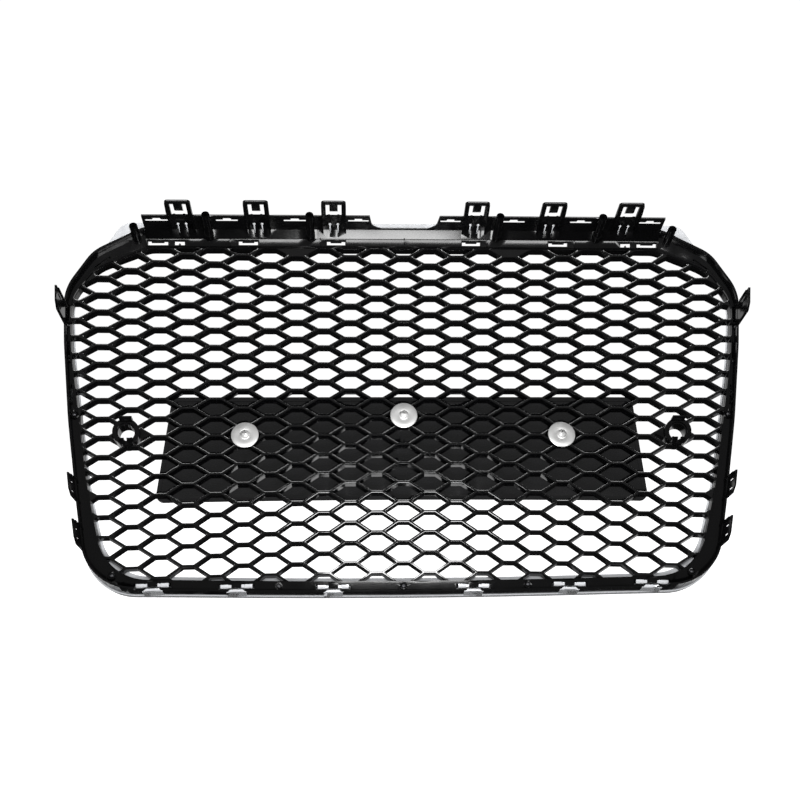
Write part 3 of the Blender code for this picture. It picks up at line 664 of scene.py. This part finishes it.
def soft_corners(polygon, radius):
    """The polygon with each corner replaced by a few points of an arc."""
    loop = []
    for index, here in enumerate(polygon):
        back = polygon[index - 1] - here
        ahead = polygon[(index + 1) % len(polygon)] - here
        half_turn = (math.pi - back.angle(ahead)) / 2
        reach = min(radius * math.tan(half_turn), CORNER_REACH * back.length,
                    CORNER_REACH * ahead.length)
        first, last = here + back.normalized() * reach, here + ahead.normalized() * reach
        for step in range(CORNER_POINTS):
            t = step / (CORNER_POINTS - 1)
            loop.append(first * (1 - t) ** 2 + here * (2 * t * (1 - t)) + last * t ** 2)
    return loop


def ring(shape, loop, depth):
    return [shape.verts.new((point.x, depth, point.y)) for point in loop]


def bridge(shape, rings):
    """Faces between each ring and the next."""
    for first, second in zip(rings, rings[1:]):
        for index in range(len(first)):
            after = (index + 1) % len(first)
            shape.faces.new((first[index], first[after], second[after], second[index]))


def flat_fill(shape, loops, depth):
    """Fill between the outer loop and the holes at one depth."""
    sheet = solid_from_loops("fill", loops, 0.0)
    start = len(shape.verts)
    for vertex in sheet.data.vertices:
        shape.verts.new((vertex.co.x, depth, vertex.co.y))
    shape.verts.ensure_lookup_table()
    for face in sheet.data.polygons:
        shape.faces.new([shape.verts[start + index] for index in face.vertices])
    bpy.data.objects.remove(sheet)


def honeycomb_piece(material):
    opening = symmetric(OPENING)
    window = inset(opening, -CELL_PROFILE[2][1])
    thickest = max(distance for _, distance in CELL_PROFILE)
    cells = [usable(cell, thickest) for cell in cell_outlines(window)]
    cells = [cell for cell in cells if cell]
    shape = bmesh.new()
    for cell in cells:
        bridge(shape, [ring(shape, soft_corners(inset(cell, distance), CELL_CORNER), depth)
                       for depth, distance in CELL_PROFILE])
    face = MESH_DEPTH / 2
    rim = [(face, RIM_ROUND), (face - RIM_ROUND, 0.0), (RIM_ROUND - face, 0.0), (-face, RIM_ROUND)]
    outer = inset(opening, -MESH_RIM)
    bridge(shape, [ring(shape, inset(outer, distance), depth) for depth, distance in rim])
    for depth, distance in (CELL_PROFILE[0], CELL_PROFILE[-1]):
        holes = [soft_corners(inset(cell, distance), CELL_CORNER) for cell in cells]
        flat_fill(shape, [inset(outer, RIM_ROUND)] + holes, depth)
    bmesh.ops.remove_doubles(shape, verts=shape.verts, dist=WELD)
    body = solid_from_shape("honeycomb", shape)
    seats = [upright("seat", [circle(side * BRACKET_AT[0], BRACKET_AT[1],
                                     BRACKET_RADIUS + CLEARANCE)], -MESH_DEPTH, MESH_DEPTH)
             for side in (1, -1)]
    cut(body, seats)
    lay_on_face(body, "honeycomb_mesh", material, HONEYCOMB_SMOOTH)


# ---- carrier frame ----
def screw_places():
    """Name and place of every screw that holds the surround to the carrier."""
    places = {}
    for word, (x, z) in zip(("left", "centre", "right"), LOW_SCREWS):
        places["lower_screw_" + word] = (x, z)
    for word, side in (("left", 1), ("right", -1)):
        places["corner_screw_" + word] = (side * CORNER_SCREW[0], CORNER_SCREW[1])
        places["side_screw_" + word] = (side * SIDE_SCREW[0], SIDE_SCREW[1])
    return places


def outer_x(z):
    """Half width of the outer outline at a height on its straight sides."""
    for (x0, z0, _), (x1, z1, _) in zip(OUTER[3:], OUTER[4:]):
        if z1 <= z <= z0:
            return x0 + (x1 - x0) * (z0 - z) / (z0 - z1)
    raise ValueError("height is not on a side of the frame")


def hook_z(x):
    """The hooks follow the curved bottom edge."""
    return HOOK_Z + HOOK_RISE * (x / HOOK_RISE_SPAN) ** 2


def side_tab(side, z, height, rear, flare):
    """Snap tab that stands back from a side wall, with ribbed edges and two slit windows."""
    root = outer_x(z) - WALL / 2
    lean = (outer_x(z + height / 2) - outer_x(z - height / 2)) / height
    front = FLANGE_FRONT + 0.0007
    half = 0.001
    outline = rounded([(front, z - height / 2, 0), (rear - 0.006, z - height / 2, 0.002),
                       (rear, z - height / 2 + 0.007, 0.0015), (rear, z + height / 2, 0.0015),
                       (front, z + height / 2, 0)])
    tab = bar("tab", outline, -half, half)
    ribs = [block("edge_rib", -0.0006, front, rear - 0.007, z + end - 0.0007, z + end + 0.0007,
                  0.0034) for end in (0.0007 - height / 2, height / 2 - 0.0007)]
    join(tab, ribs)
    windows = [block("slit", 0.0, rear - 0.02, rear - 0.007, z + shift - 0.0016,
                     z + shift + 0.0016, 0.02) for shift in (-0.0055, 0.0055)]
    cut(tab, windows)

    def place(co):
        outwards = flare * max(0.0, (co.y - front) / (rear - front))
        return Vector((side * (root + co.x + outwards + lean * (co.z - z)), co.y, co.z))

    return move_vertices(tab, place)


def stud(x, z, front, foot_rear, rear):
    """Round stud and its wider foot."""
    return [rod("stud", x, z, STUD_RADIUS, front, rear),
            rod("stud_foot", x, z, STUD_RADIUS + 0.0007, front, foot_rear, square_end=False)]


def pointed_slot(x, z, width, height):
    """Slot with arrow-shaped ends."""
    half, end = width / 2, height / 2
    outline = [(-half, end - 2 * half), (0.0, end), (half, end - 2 * half), (half, 2 * half - end),
               (0.0, -end), (-half, 2 * half - end)]
    return upright("side_slot", [[(x + u, z + v) for u, v in outline]], 0.0, 0.03)


def bracket_slot(side):
    """Thin slot on the chamfered corner, with a square hook at each end."""
    x, z, length, slope = CHAMFER_SLOT
    half = length / 2
    outline = [(-half, -0.0017), (-half + 0.0015, -0.0017), (-half + 0.0015, 0.0004),
               (half - 0.0015, 0.0004), (half - 0.0015, -0.0017), (half, -0.0017), (half, 0.0017),
               (-half, 0.0017)]
    turn = Matrix.Rotation(slope, 2)
    loop = [Vector((x, z)) + turn @ Vector(corner) for corner in outline]
    loop = [(side * point.x, point.y) for point in loop]
    return upright("chamfer_slot", [loop], -0.02, 0.03)


def window_outline(x, width, low):
    """Window with a low bar that runs up at both ends, or a narrow one with a round nib below."""
    half, middle, high = width / 2, low + 0.62 * WINDOW_HEIGHT, low + WINDOW_HEIGHT
    inner = half - 0.0045
    outline = [(-half, low), (half, low), (half, high), (inner, high), (inner, middle),
               (-inner, middle), (-inner, high), (-half, high)]
    if width < NARROW_WINDOW:
        half -= 0.0006
        outline = [(half, low), (half, high), (-half, high), (-half, low)]
        turns = [step * math.pi / 8 for step in reversed(range(9))]
        outline += [(0.0016 * math.cos(turn), low + 0.0022 * math.sin(turn)) for turn in turns]
    return [(x + u, v) for u, v in outline]


def carrier_piece(material):
    outer = symmetric(OUTER)
    opening = symmetric(OPENING)
    body = upright("carrier", [outer, inset(outer, WALL)], -MESH_DEPTH / 2, WALL_REAR)
    cut(body, [block("low_top", 0.0, FLANGE_REAR - 0.0004, 0.03, *TOP_ZONE, 2 * RAIL_HALF + 0.001),
               block("low_foot", 0.0, LOW_WALL_REAR, 0.03, *FOOT_ZONE, FOOT_ZONE_WIDTH)])
    join(body, [upright("flange", [inset(outer, WALL / 2), opening], FLANGE_FRONT, FLANGE_REAR)])
    bead = upright("bead", [inset(opening, -0.0032), inset(opening, -0.0022)], FLANGE_REAR - 0.0005,
                   FLANGE_REAR + 0.0006)
    cut(bead, [block("under_rail", 0.0, 0.0, 0.03, *TOP_ZONE, 2 * RAIL_HALF + 0.004),
               block("under_hooks", 0.0, 0.0, 0.03, *FOOT_ZONE, FOOT_ZONE_WIDTH)])
    parts, holes = [bead], []
    root = FLANGE_REAR - 0.001
    for side in (1, -1):
        parts += [side_tab(side, *tab) for tab in SIDE_TABS]
        x, z, rear = CORNER_STUD
        parts += stud(side * x, z, root, FLANGE_REAR + 0.0022, rear)
        holes.append(rod("stud_hole", side * x, z, STUD_HOLE, rear - STUD_HOLE_DEPTH, 0.06))
        holes.append(bracket_slot(side))
        for z, height in SIDE_SLOTS:
            inner, foot = outer_x(z) - WALL - 0.0011, z - height / 2
            parts.append(block("wall_rib", side * inner, root, 0.015, foot - 0.0033,
                               foot - 0.0021, 0.0032))
            holes.append(pointed_slot(side * inner, z, 0.0021, height))
    for x, z in screw_places().values():
        parts.append(rod("boss", x, z, BOSS_RADIUS, root, BOSS_REAR))
        holes.append(rod("screw_hole", x, z, SCREW_HOLE, -0.02, 0.03))
    tongues = []
    for x in both(HOOK_X):
        z = hook_z(x)
        low, high = z - HOOK_WINDOW_HALF, z + HOOK_WINDOW_HALF
        for end in (-HOOK_WIDTH / 2 - 0.0031, HOOK_WIDTH / 2 + 0.0031):
            parts.append(block("hook_cheek", x + end, root, 0.01, low, high, 0.0016))
        holes.append(block("hook_window", x, 0.0, 0.03, low, high, HOOK_WIDTH + 0.003))
        tongue = [(root, z + 0.0032), (root, z + 0.0046), (HOOK_REAR - 0.0001, z + 0.0046),
                  (HOOK_REAR - 0.0001, z - 0.002), (HOOK_REAR - 0.0011, z - 0.002),
                  (HOOK_REAR - 0.0011, z + 0.0032)]
        tongues.append(bar("tongue", tongue, x - 0.006, x + 0.006))
    for middle, width in FLANGE_WINDOWS:
        low = rail_top(middle) - RAIL_FLANGE_DROP + WINDOW_SILL - 0.001
        high = low + WINDOW_HEIGHT + 0.002
        holes += [block("rail_window", x, 0.0, 0.03, low, high, width) for x in both([middle])]
    join(body, parts)
    cut(body, holes)
    join(body, tongues)
    round_edges(body, EDGE_ROUND)
    lay_on_face(body, "carrier_frame", material)


# ---- top rail ----
def slanted(name, loop, low, high, middle):
    """Cutter drawn in x and depth at the height middle, whose walls run level once on the car."""
    slope = 1.0 / math.sin(DRAW_ANGLE)
    body = level(name, [loop], low, high)
    return move_vertices(body, lambda co: Vector((co.x, co.y - (co.z - middle) * slope, co.z)))


def top_rail_piece(material):
    """Modelled with a straight top at z = 0, then crowned."""
    front, rear = RAIL_FRONT, RAIL_FRONT + RAIL_FLANGE
    profile = [(front, 0.0), (front, -RAIL_FLANGE_DROP), (rear, -RAIL_FLANGE_DROP),
               (rear, -STEP_DROP - 0.0012), (rear - 0.0009, -STEP_DROP - 0.0006),
               (rear, -STEP_DROP), (STEP_REAR, -SHELF_THICK), (SHELF_REAR, -SHELF_THICK),
               (SHELF_REAR, 0.0)]
    body = bar("top_rail", profile, -RAIL_HALF, RAIL_HALF)
    notch = rounded([(-NOTCH_HALF - 0.004, 0.06, 0), (-NOTCH_HALF, SHELF_REAR, 0.004),
                     (-NOTCH_HALF + 0.004, NOTCH_FRONT, 0.014),
                     (NOTCH_HALF - 0.004, NOTCH_FRONT, 0.014),
                     (NOTCH_HALF, SHELF_REAR, 0.004), (NOTCH_HALF + 0.004, 0.06, 0)])
    cut(body, [level("notch", [notch], -0.02, 0.01)])
    additions = [block("flange_rib", x, rear - 0.001, rear + 0.0012, -RAIL_FLANGE_DROP,
                       -STEP_DROP - 0.0016, 0.0012) for x in FLANGE_RIBS]
    for x in TOP_TABS + [-x for x in TOP_TABS]:
        half = TAB_WIDTH / 2
        tongue = rounded([(x - half, 0.03, 0), (x + half, 0.03, 0),
                          (x + half, TAB_REAR, 0.004), (x - half, TAB_REAR, 0.004)])
        additions.append(level("tongue", [tongue], -SHELF_THICK - 0.0003, 0.0004))
        for edge in (-half + 0.0009, half - 0.0009):
            rib = [(rear - 0.001, -0.0052), (0.06, -0.0052), (TAB_REAR - 0.004, -0.003),
                   (TAB_REAR - 0.004, -0.0012), (rear - 0.001, -0.0012)]
            additions.append(bar("tab_rib", rib, x + edge - 0.0009, x + edge + 0.0009))
        for edge in (-0.0058, 0.0058):
            ramp = [(0.044, -0.0022), (0.053, -0.0046), (0.0555, -0.0046), (0.0555, -0.0022)]
            additions.append(bar("ramp", ramp, x + edge - 0.0013, x + edge + 0.0013))
    for x in RAIL_STUDS + [-x for x in RAIL_STUDS]:
        additions += stud(x, -RAIL_STUD_DROP, rear - 0.001, STEP_REAR + 0.002, RAIL_STUD_REAR)
    join(body, additions)
    holes = []
    for side in (1, -1):
        for x in TOP_TABS:
            holes += tab_windows(side * x)
        for x, width in SHELF_SLOTS:
            holes.append(shelf_slot(side * x, width))
        for x, width in FLANGE_WINDOWS:
            outline = window_outline(side * x, width, WINDOW_SILL - RAIL_FLANGE_DROP)
            holes.append(upright("window", [outline], front - 0.002, rear + 0.002))
        for x in RAIL_STUDS:
            holes.append(rod("stud_hole", side * x, -RAIL_STUD_DROP, STUD_HOLE,
                             RAIL_STUD_REAR - STUD_HOLE_DEPTH, 0.07))
    cut(body, holes)
    round_edges(body, EDGE_ROUND)
    split_along_x(body)
    move_vertices(body, lambda co: Vector((co.x, co.y, co.z + rail_top(co.x))))
    lay_on_face(body, "top_rail", material)


def tab_windows(x):
    """U-shaped slot round the snap tongue of a top tab, and the two barbed slits in front of it."""
    half, tongue = 0.0095, 0.005
    front, bar_rear, rear = 0.048, 0.056, 0.069
    middle = -SHELF_THICK / 2
    outline = [(-half, front), (half, front), (half, rear), (tongue, rear), (tongue, bar_rear),
               (-tongue, bar_rear), (-tongue, rear), (-half, rear)]
    loop = [(x + u, v) for u, v in outline]
    shapes = [slanted("snap_slot", loop, -0.01, 0.002, middle)]
    for edge in (-0.0048, 0.0048):
        barbed = [(-0.0008, -0.002), (0.0008, -0.002), (0.0008, 0.027), (0.0022, 0.027),
                  (0.001, 0.031), (-0.001, 0.031), (-0.0022, 0.027), (-0.0008, 0.027)]
        loop = [(x + edge + u, v) for u, v in barbed]
        shapes.append(slanted("slit", loop, -0.0075, 0.002, middle))
    return shapes


def shelf_slot(x, width):
    """Slot near the shelf's rear edge, with a wider middle."""
    half, step = width / 2, width / 5
    outline = [(-half, 0.0345), (half, 0.0345), (half, 0.0378), (step, 0.0378),
               (step - 0.001, 0.0405), (-step + 0.001, 0.0405), (-step, 0.0378), (-half, 0.0378)]
    loop = [(x + u, v) for u, v in outline]
    return slanted("shelf_slot", loop, -0.0045, 0.002, -SHELF_THICK / 2)


# ---- bright surround ----
def surround_piece(material):
    """Band with a domed front: rings of both outlines from the rear face to the front face."""
    outer = symmetric(SURROUND)
    inner = symmetric(SURROUND_OPENING)
    shape = bmesh.new()
    rings = {}
    for name, loop, sign, (wide, deep) in (("outer", outer, 1.0, OUTER_DOME),
                                           ("inner", inner, -1.0, INNER_DOME)):
        steps = [(SURROUND_REAR, 0.0004), (SURROUND_REAR - 0.0004, 0.0)]
        for step in range(DOME_STEPS + 1):
            turn = math.pi / 2 * step / DOME_STEPS
            steps.append((SURROUND_FRONT + deep * (1 - math.sin(turn)),
                          wide * (1 - math.cos(turn))))
        bridge(shape, [ring(shape, inset(loop, sign * distance), depth)
                       for depth, distance in steps])
        rings[name] = (inset(loop, sign * steps[0][1]), inset(loop, sign * steps[-1][1]))
    for index, depth in ((0, SURROUND_REAR), (1, SURROUND_FRONT)):
        flat_fill(shape, [rings["outer"][index], rings["inner"][index]], depth)
    bmesh.ops.remove_doubles(shape, verts=shape.verts, dist=WELD)
    body = solid_from_shape("surround", shape)
    parts = []
    for x in both(HOOK_X):
        parts += hook(x, hook_z(x))
    for name, (x, z) in screw_places().items():
        if not name.startswith("side"):
            parts.append(rod("boss", x, z, SURROUND_BOSS, SURROUND_REAR - 0.002,
                             FLANGE_FRONT - CLEARANCE, square_end=False))
    for z in SIDE_HOOKS:
        for side in (1, -1):
            top = z + SIDE_HOOK_HEIGHT / 2
            x = side * (outer_x(top) + CLEARANCE + SIDE_HOOK_THICK / 2)
            foot = top - SIDE_HOOK_HEIGHT
            profile = [(SURROUND_REAR - 0.004, foot), (0.007, foot), (0.01, foot + 0.004),
                       (0.01, top), (SURROUND_REAR - 0.004, top)]
            half = SIDE_HOOK_THICK / 2
            parts.append(bar("side_hook", profile, x - half, x + half))
    for part in parts:
        round_edges(part, HOOK_EDGE_ROUND)
    join(body, parts)
    cut(body, [rod("screw_hole", x, z, SCREW_HOLE, SURROUND_FRONT + 0.004, 0.03)
               for x, z in screw_places().values()])
    lay_on_face(body, "chrome_surround", material)


def hook(x, z):
    """Two chamfered posts with a bridge between them, and a base plate round the carrier's wall."""
    low, high, front = z - HOOK_HEIGHT / 2, z + HOOK_HEIGHT / 2, SURROUND_REAR - 0.002
    solids = []
    for post in (-HOOK_POST_X, HOOK_POST_X):
        profile = [(front, low), (HOOK_REAR - 0.0022, low), (HOOK_REAR, low + 0.0016),
                   (HOOK_REAR, high - 0.0006), (HOOK_REAR - 0.0006, high), (front, high)]
        half = HOOK_POST_WIDTH / 2
        solids.append(bar("hook_post", profile, x + post - half, x + post + half))
        notch = block("notch", x + post, HOOK_REAR - 0.003, HOOK_REAR - 0.0018, low - 0.001,
                      high + 0.001, 0.003)
        cut(solids[-1], [notch])
    solids.append(block("hook_bridge", x, FLANGE_REAR + 0.001, HOOK_REAR - 0.0014, low + 0.0004,
                        high - 0.0004, HOOK_BRIDGE_WIDTH))
    wide, narrow = HOOK_BASE
    foot, top = (z - drop for drop in HOOK_BASE_DROP)
    solids.append(block("base_lip", x, front, HOOK_REAR - 0.0004, foot, foot + 0.0011, 2 * wide))
    plate = [(x - wide, foot), (x + wide, foot), (x + narrow, top), (x - narrow, top)]
    solids.append(upright("base_plate", [plate], LOW_WALL_REAR + 0.0003, HOOK_REAR - 0.0004))
    return solids


# ---- plate board and its fixings ----
def board_piece(material):
    outline = rounded([(BOARD_TOP_HALF, BOARD_TOP, BOARD_CORNER),
                       (BOARD_FOOT_HALF, BOARD_FOOT, BOARD_CORNER),
                       (-BOARD_FOOT_HALF, BOARD_FOOT, BOARD_CORNER),
                       (-BOARD_TOP_HALF, BOARD_TOP, BOARD_CORNER)], BOARD_ARC_STEP)
    front = BOARD_REAR - BOARD_THICK
    body = upright("plate_board", [outline], front, BOARD_REAR)
    seats = [rod("seat", x, z, SEAT_RADIUS, BOARD_REAR - 0.0015, WASHER_FRONT - CLEARANCE)
             for x, z in BOARD_SEATS.values()]
    hollows = [upright("field", [inset(outline, 0.006)], front - 0.001, front + 0.0007),
               upright("rear_field", [inset(outline, 0.0052)], BOARD_REAR - 0.0009,
                       BOARD_REAR + 0.0001)]
    cut(body, hollows)
    join(body, seats)
    cut(body, [rod("screw_hole", x, z, SHANK_RADIUS + 0.0005, BOARD_REAR + 0.001, 0.03)
               for x, z in BOARD_SEATS.values()])
    round_edges(body, BOARD_EDGE_ROUND)
    lay_on_face(body, "plate_board", material)


def turned(name, profile):
    """Turned piece round the local z axis. profile is (radius, height) from the top."""
    shape = bmesh.new()
    rows = []
    for radius, height in profile:
        loop = circle(0, 0, radius, TURNED_SIDES) if radius > 0.0 else [Vector((0.0, 0.0))]
        rows.append([shape.verts.new((point.x, point.y, height)) for point in loop])
    if profile[0][0] > 0.0:
        rows.append(rows[0])
    for first, second in zip(rows, rows[1:]):
        if len(first) == len(second):
            bridge(shape, (first, second))
            continue
        point, loop = (first[0], second) if len(first) == 1 else (second[0], first)
        for index in range(TURNED_SIDES):
            shape.faces.new((point, loop[index], loop[(index + 1) % TURNED_SIDES]))
    return solid_from_shape(name, shape)


def stand(body, node, x, z, depth, material):
    """Put a turned piece with its axis along the draw direction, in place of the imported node."""
    turn = Matrix.Rotation(DRAW_ANGLE - math.pi / 2, 4, "X")
    place = Matrix.Translation(on_face(x, depth, z)) @ turn
    move_vertices(body, lambda co: place @ co)
    adopt(body, node, material, TURNED_SMOOTH)


def washer_piece(node, x, z, material):
    hole, edge = SHANK_RADIUS + 0.0004, 0.00025
    top, rim = WASHER_THICK, WASHER_RADIUS
    profile = [(hole, top - edge), (hole + edge, top), (0.006, top), (0.0064, top - 0.00012),
               (0.0068, top), (rim - 0.0011, top), (rim - 0.0003, top - 0.0003),
               (rim, top - 0.0007), (rim, edge), (rim - edge, 0.0), (hole + edge, 0.0),
               (hole, edge)]
    stand(turned(node, profile), node, x, z, WASHER_FRONT, material)


def screw_piece(node, x, z, depth, head_radius, head_height, shank, material):
    """Pan-head screw with a cross recess and a threaded shank."""
    profile = [(wide * head_radius, high * head_height) for wide, high in HEAD_PROFILE]
    profile.append((SHANK_RADIUS, 0.0))
    for index in range(int((shank - 0.003) / THREAD_PITCH)):
        height = -0.0008 - index * THREAD_PITCH
        profile += [(wide * SHANK_RADIUS, height - down * THREAD_PITCH) for wide, down in THREAD]
    profile += [(0.7 * SHANK_RADIUS, 0.0012 - shank), (0.0, -shank)]
    body = turned(node, profile)
    reach, half = 0.52 * head_radius, 0.12 * head_radius
    low, high = 0.45 * head_height, head_height + 0.001
    cut(body, [block("recess", 0.0, -reach, reach, low, high, 2 * half),
               block("recess_across", 0.0, -half, half, low + 0.00002, high, 2 * reach)])
    stand(body, node, x, z, depth, material)


# ---- sensor brackets ----
def bracket_piece(node, side, material):
    """Tube with a looped arm above, a two-pronged one below and a gusset into the next cell."""
    x, z = side * BRACKET_AT[0], BRACKET_AT[1]
    root = BRACKET_REAR - 0.002
    body = upright(node, [circle(x, z, BRACKET_RADIUS, TUBE_SIDES)], BRACKET_FRONT, BRACKET_REAR)
    loop = [(root, z + 0.0118), (ARM_REAR - 0.0012, z + 0.0118), (ARM_REAR, z + 0.0128),
            (ARM_REAR, z + 0.0142), (ARM_REAR - 0.001, z + 0.015), (root, z + 0.015)]
    dome = [(root, z - 0.015), (0.02, z - 0.015), (ARM_REAR, z - 0.0132),
            (ARM_REAR, z - 0.0118), (root, z - 0.0118)]
    middle = x - side * ARM_SHIFT
    parts = [bar("loop_arm", loop, middle - ARM_HALF, middle + ARM_HALF),
             bar("dome_arm", dome, middle - ARM_HALF, middle + ARM_HALF)]
    for edge in (-0.0066, 0.0066):
        parts.append(block("prong", middle + edge, root, 0.019, z - 0.0122, z - 0.0098, 0.0018))
    near, far = x - side * (BRACKET_RADIUS - 0.001), x - side * (BRACKET_RADIUS + 0.0118)
    tip = [(near, z + 0.0062), (far, z + 0.0004), (near, z - 0.0062)]
    parts.append(upright("gusset", [tip], -0.0045, 0.0048))
    join(body, parts)
    bore, step = (circle(x, z, BRACKET_BORE + more, TUBE_SIDES) for more in (0.0, 0.0014))
    cut(body, [upright("bore", [bore], -0.03, 0.03),
               upright("bore_step", [step], BRACKET_REAR - 0.003, 0.03),
               block("arm_slot", middle, ARM_REAR - 0.0065, ARM_REAR - 0.003, z - 0.02, z + 0.02,
                     0.005),
               block("arm_gap", middle, BRACKET_REAR + 0.0006, ARM_REAR + 0.001, z - 0.02, z,
                     0.0032)])
    round_edges(body, BRACKET_EDGE_ROUND)
    lay_on_face(body, node, material)


# ---- stage ----
def place_camera():
    sine, cosine = math.sin(CAMERA_AZIMUTH), math.cos(CAMERA_AZIMUTH)
    back = Vector((sine * math.cos(CAMERA_ELEVATION), -cosine * math.cos(CAMERA_ELEVATION),
                   math.sin(CAMERA_ELEVATION)))
    right = Vector((cosine, sine, 0.0))
    target = Vector((0.0, SHEET_BACK, SHEET_LIFT)) - right * ASIDE
    data = bpy.data.cameras.new("camera")
    data.lens = LENS
    data.sensor_width = SENSOR_WIDTH
    data.clip_start = CAMERA_NEAR
    camera = bpy.data.objects.new("camera", data)
    bpy.context.scene.collection.objects.link(camera)
    camera.location = target + back * CAMERA_DISTANCE
    camera.rotation_euler = back.to_track_quat("Z", "Y").to_euler()
    bpy.context.scene.camera = camera


def place_world():
    """White all round near the horizon, dark above and below, and darker towards the rear."""
    world = bpy.data.worlds.new("studio")
    world.use_nodes = True
    tree = world.node_tree
    direction = add_node(tree, "TexCoord").outputs["Generated"]
    parts = add_node(tree, "SeparateXYZ", {"Vector": direction}).outputs
    sky = ramp(tree, parts["Z"], *WORLD_SKY, WORLD_WHITE, WORLD_SKY_SHADE, "SMOOTHSTEP")
    ground = ramp(tree, parts["Z"], *WORLD_GROUND, WORLD_GROUND_SHADE, WORLD_WHITE, "SMOOTHSTEP")
    behind = ramp(tree, parts["Y"], *WORLD_REAR, 1.0, WORLD_BACK, "SMOOTHSTEP")
    band = add_node(tree, "Math", {0: sky, 1: ground}, operation="MINIMUM").outputs["Value"]
    strength = add_node(tree, "Math", {0: band, 1: behind}, operation="MULTIPLY").outputs["Value"]
    wire(tree, tree.nodes["Background"], {"Color": (1.0, 1.0, 1.0, 1.0), "Strength": strength})
    bpy.context.scene.world = world


def place_floor():
    """Plain pale floor with a glow of its own, so that it stays as white as the backdrop."""
    shape = bmesh.new()
    bmesh.ops.create_circle(shape, cap_ends=True, segments=FLOOR_SIDES, radius=FLOOR_RADIUS)
    mesh = bpy.data.meshes.new("floor")
    shape.to_mesh(mesh)
    shape.free()
    material = bpy.data.materials.new("pale_floor")
    material.use_nodes = True
    tree = material.node_tree
    wire(tree, tree.nodes["Principled BSDF"], {
        "Base Color": (FLOOR_SHADE, FLOOR_SHADE, FLOOR_SHADE, 1.0), "Roughness": FLOOR_ROUGHNESS,
        "Emission Color": (1.0, 1.0, 1.0, 1.0), "Emission Strength": FLOOR_GLOW})
    mesh.materials.append(material)
    floor = link("floor", mesh)
    floor.visible_glossy = False


def soft_light(name, place, target, width, height, power):
    data = bpy.data.lights.new(name, "AREA")
    data.shape = "RECTANGLE"
    data.size = width
    data.size_y = height
    data.energy = power
    light = bpy.data.objects.new(name, data)
    bpy.context.scene.collection.objects.link(light)
    light.location = place
    light.rotation_euler = (Vector(place) - Vector(target)).to_track_quat("Z", "Y").to_euler()


# ---- the whole picture ----
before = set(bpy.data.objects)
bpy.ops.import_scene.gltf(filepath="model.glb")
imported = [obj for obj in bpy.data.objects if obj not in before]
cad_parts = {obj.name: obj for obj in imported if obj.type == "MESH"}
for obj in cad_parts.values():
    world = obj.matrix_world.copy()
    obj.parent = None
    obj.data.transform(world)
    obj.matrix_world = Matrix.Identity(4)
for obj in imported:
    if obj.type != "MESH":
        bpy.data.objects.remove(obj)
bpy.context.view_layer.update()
place_camera()
place_world()
place_floor()
for light_name, light in LIGHTS.items():
    soft_light(light_name, *light)
bpy.context.scene.view_settings.view_transform = "Standard"

gloss_black = plastic("gloss_black_plastic", *GLOSS_BLACK)
satin_black = plastic("satin_black_plastic", *SATIN_BLACK)
board_black = plastic("board_black_plastic", *BOARD_BLACK)
bright_trim = dull_back(metal("bright_trim", *BRIGHT_TRIM))
zinc_steel = metal("zinc_steel", *ZINC_STEEL)
black_steel = metal("black_steel", *BLACK_STEEL)
honeycomb_piece(gloss_black)
carrier_piece(satin_black)
top_rail_piece(satin_black)
surround_piece(bright_trim)
board_piece(board_black)
for word, (seat_x, seat_z) in BOARD_SEATS.items():
    washer_piece("plate_washer_" + word, seat_x, seat_z, zinc_steel)
    screw_piece("plate_screw_" + word, seat_x, seat_z, WASHER_FRONT + WASHER_THICK + CLEARANCE,
                HEAD_RADIUS, HEAD_HEIGHT, PLATE_SHANK, zinc_steel)
for word, direction in (("left", 1), ("right", -1)):
    bracket_piece("sensor_bracket_" + word, direction, satin_black)
for screw_name, (screw_x, screw_z) in screw_places().items():
    screw_piece(screw_name, screw_x, screw_z, SURROUND_SCREW_REAR, *SURROUND_SCREW, black_steel)
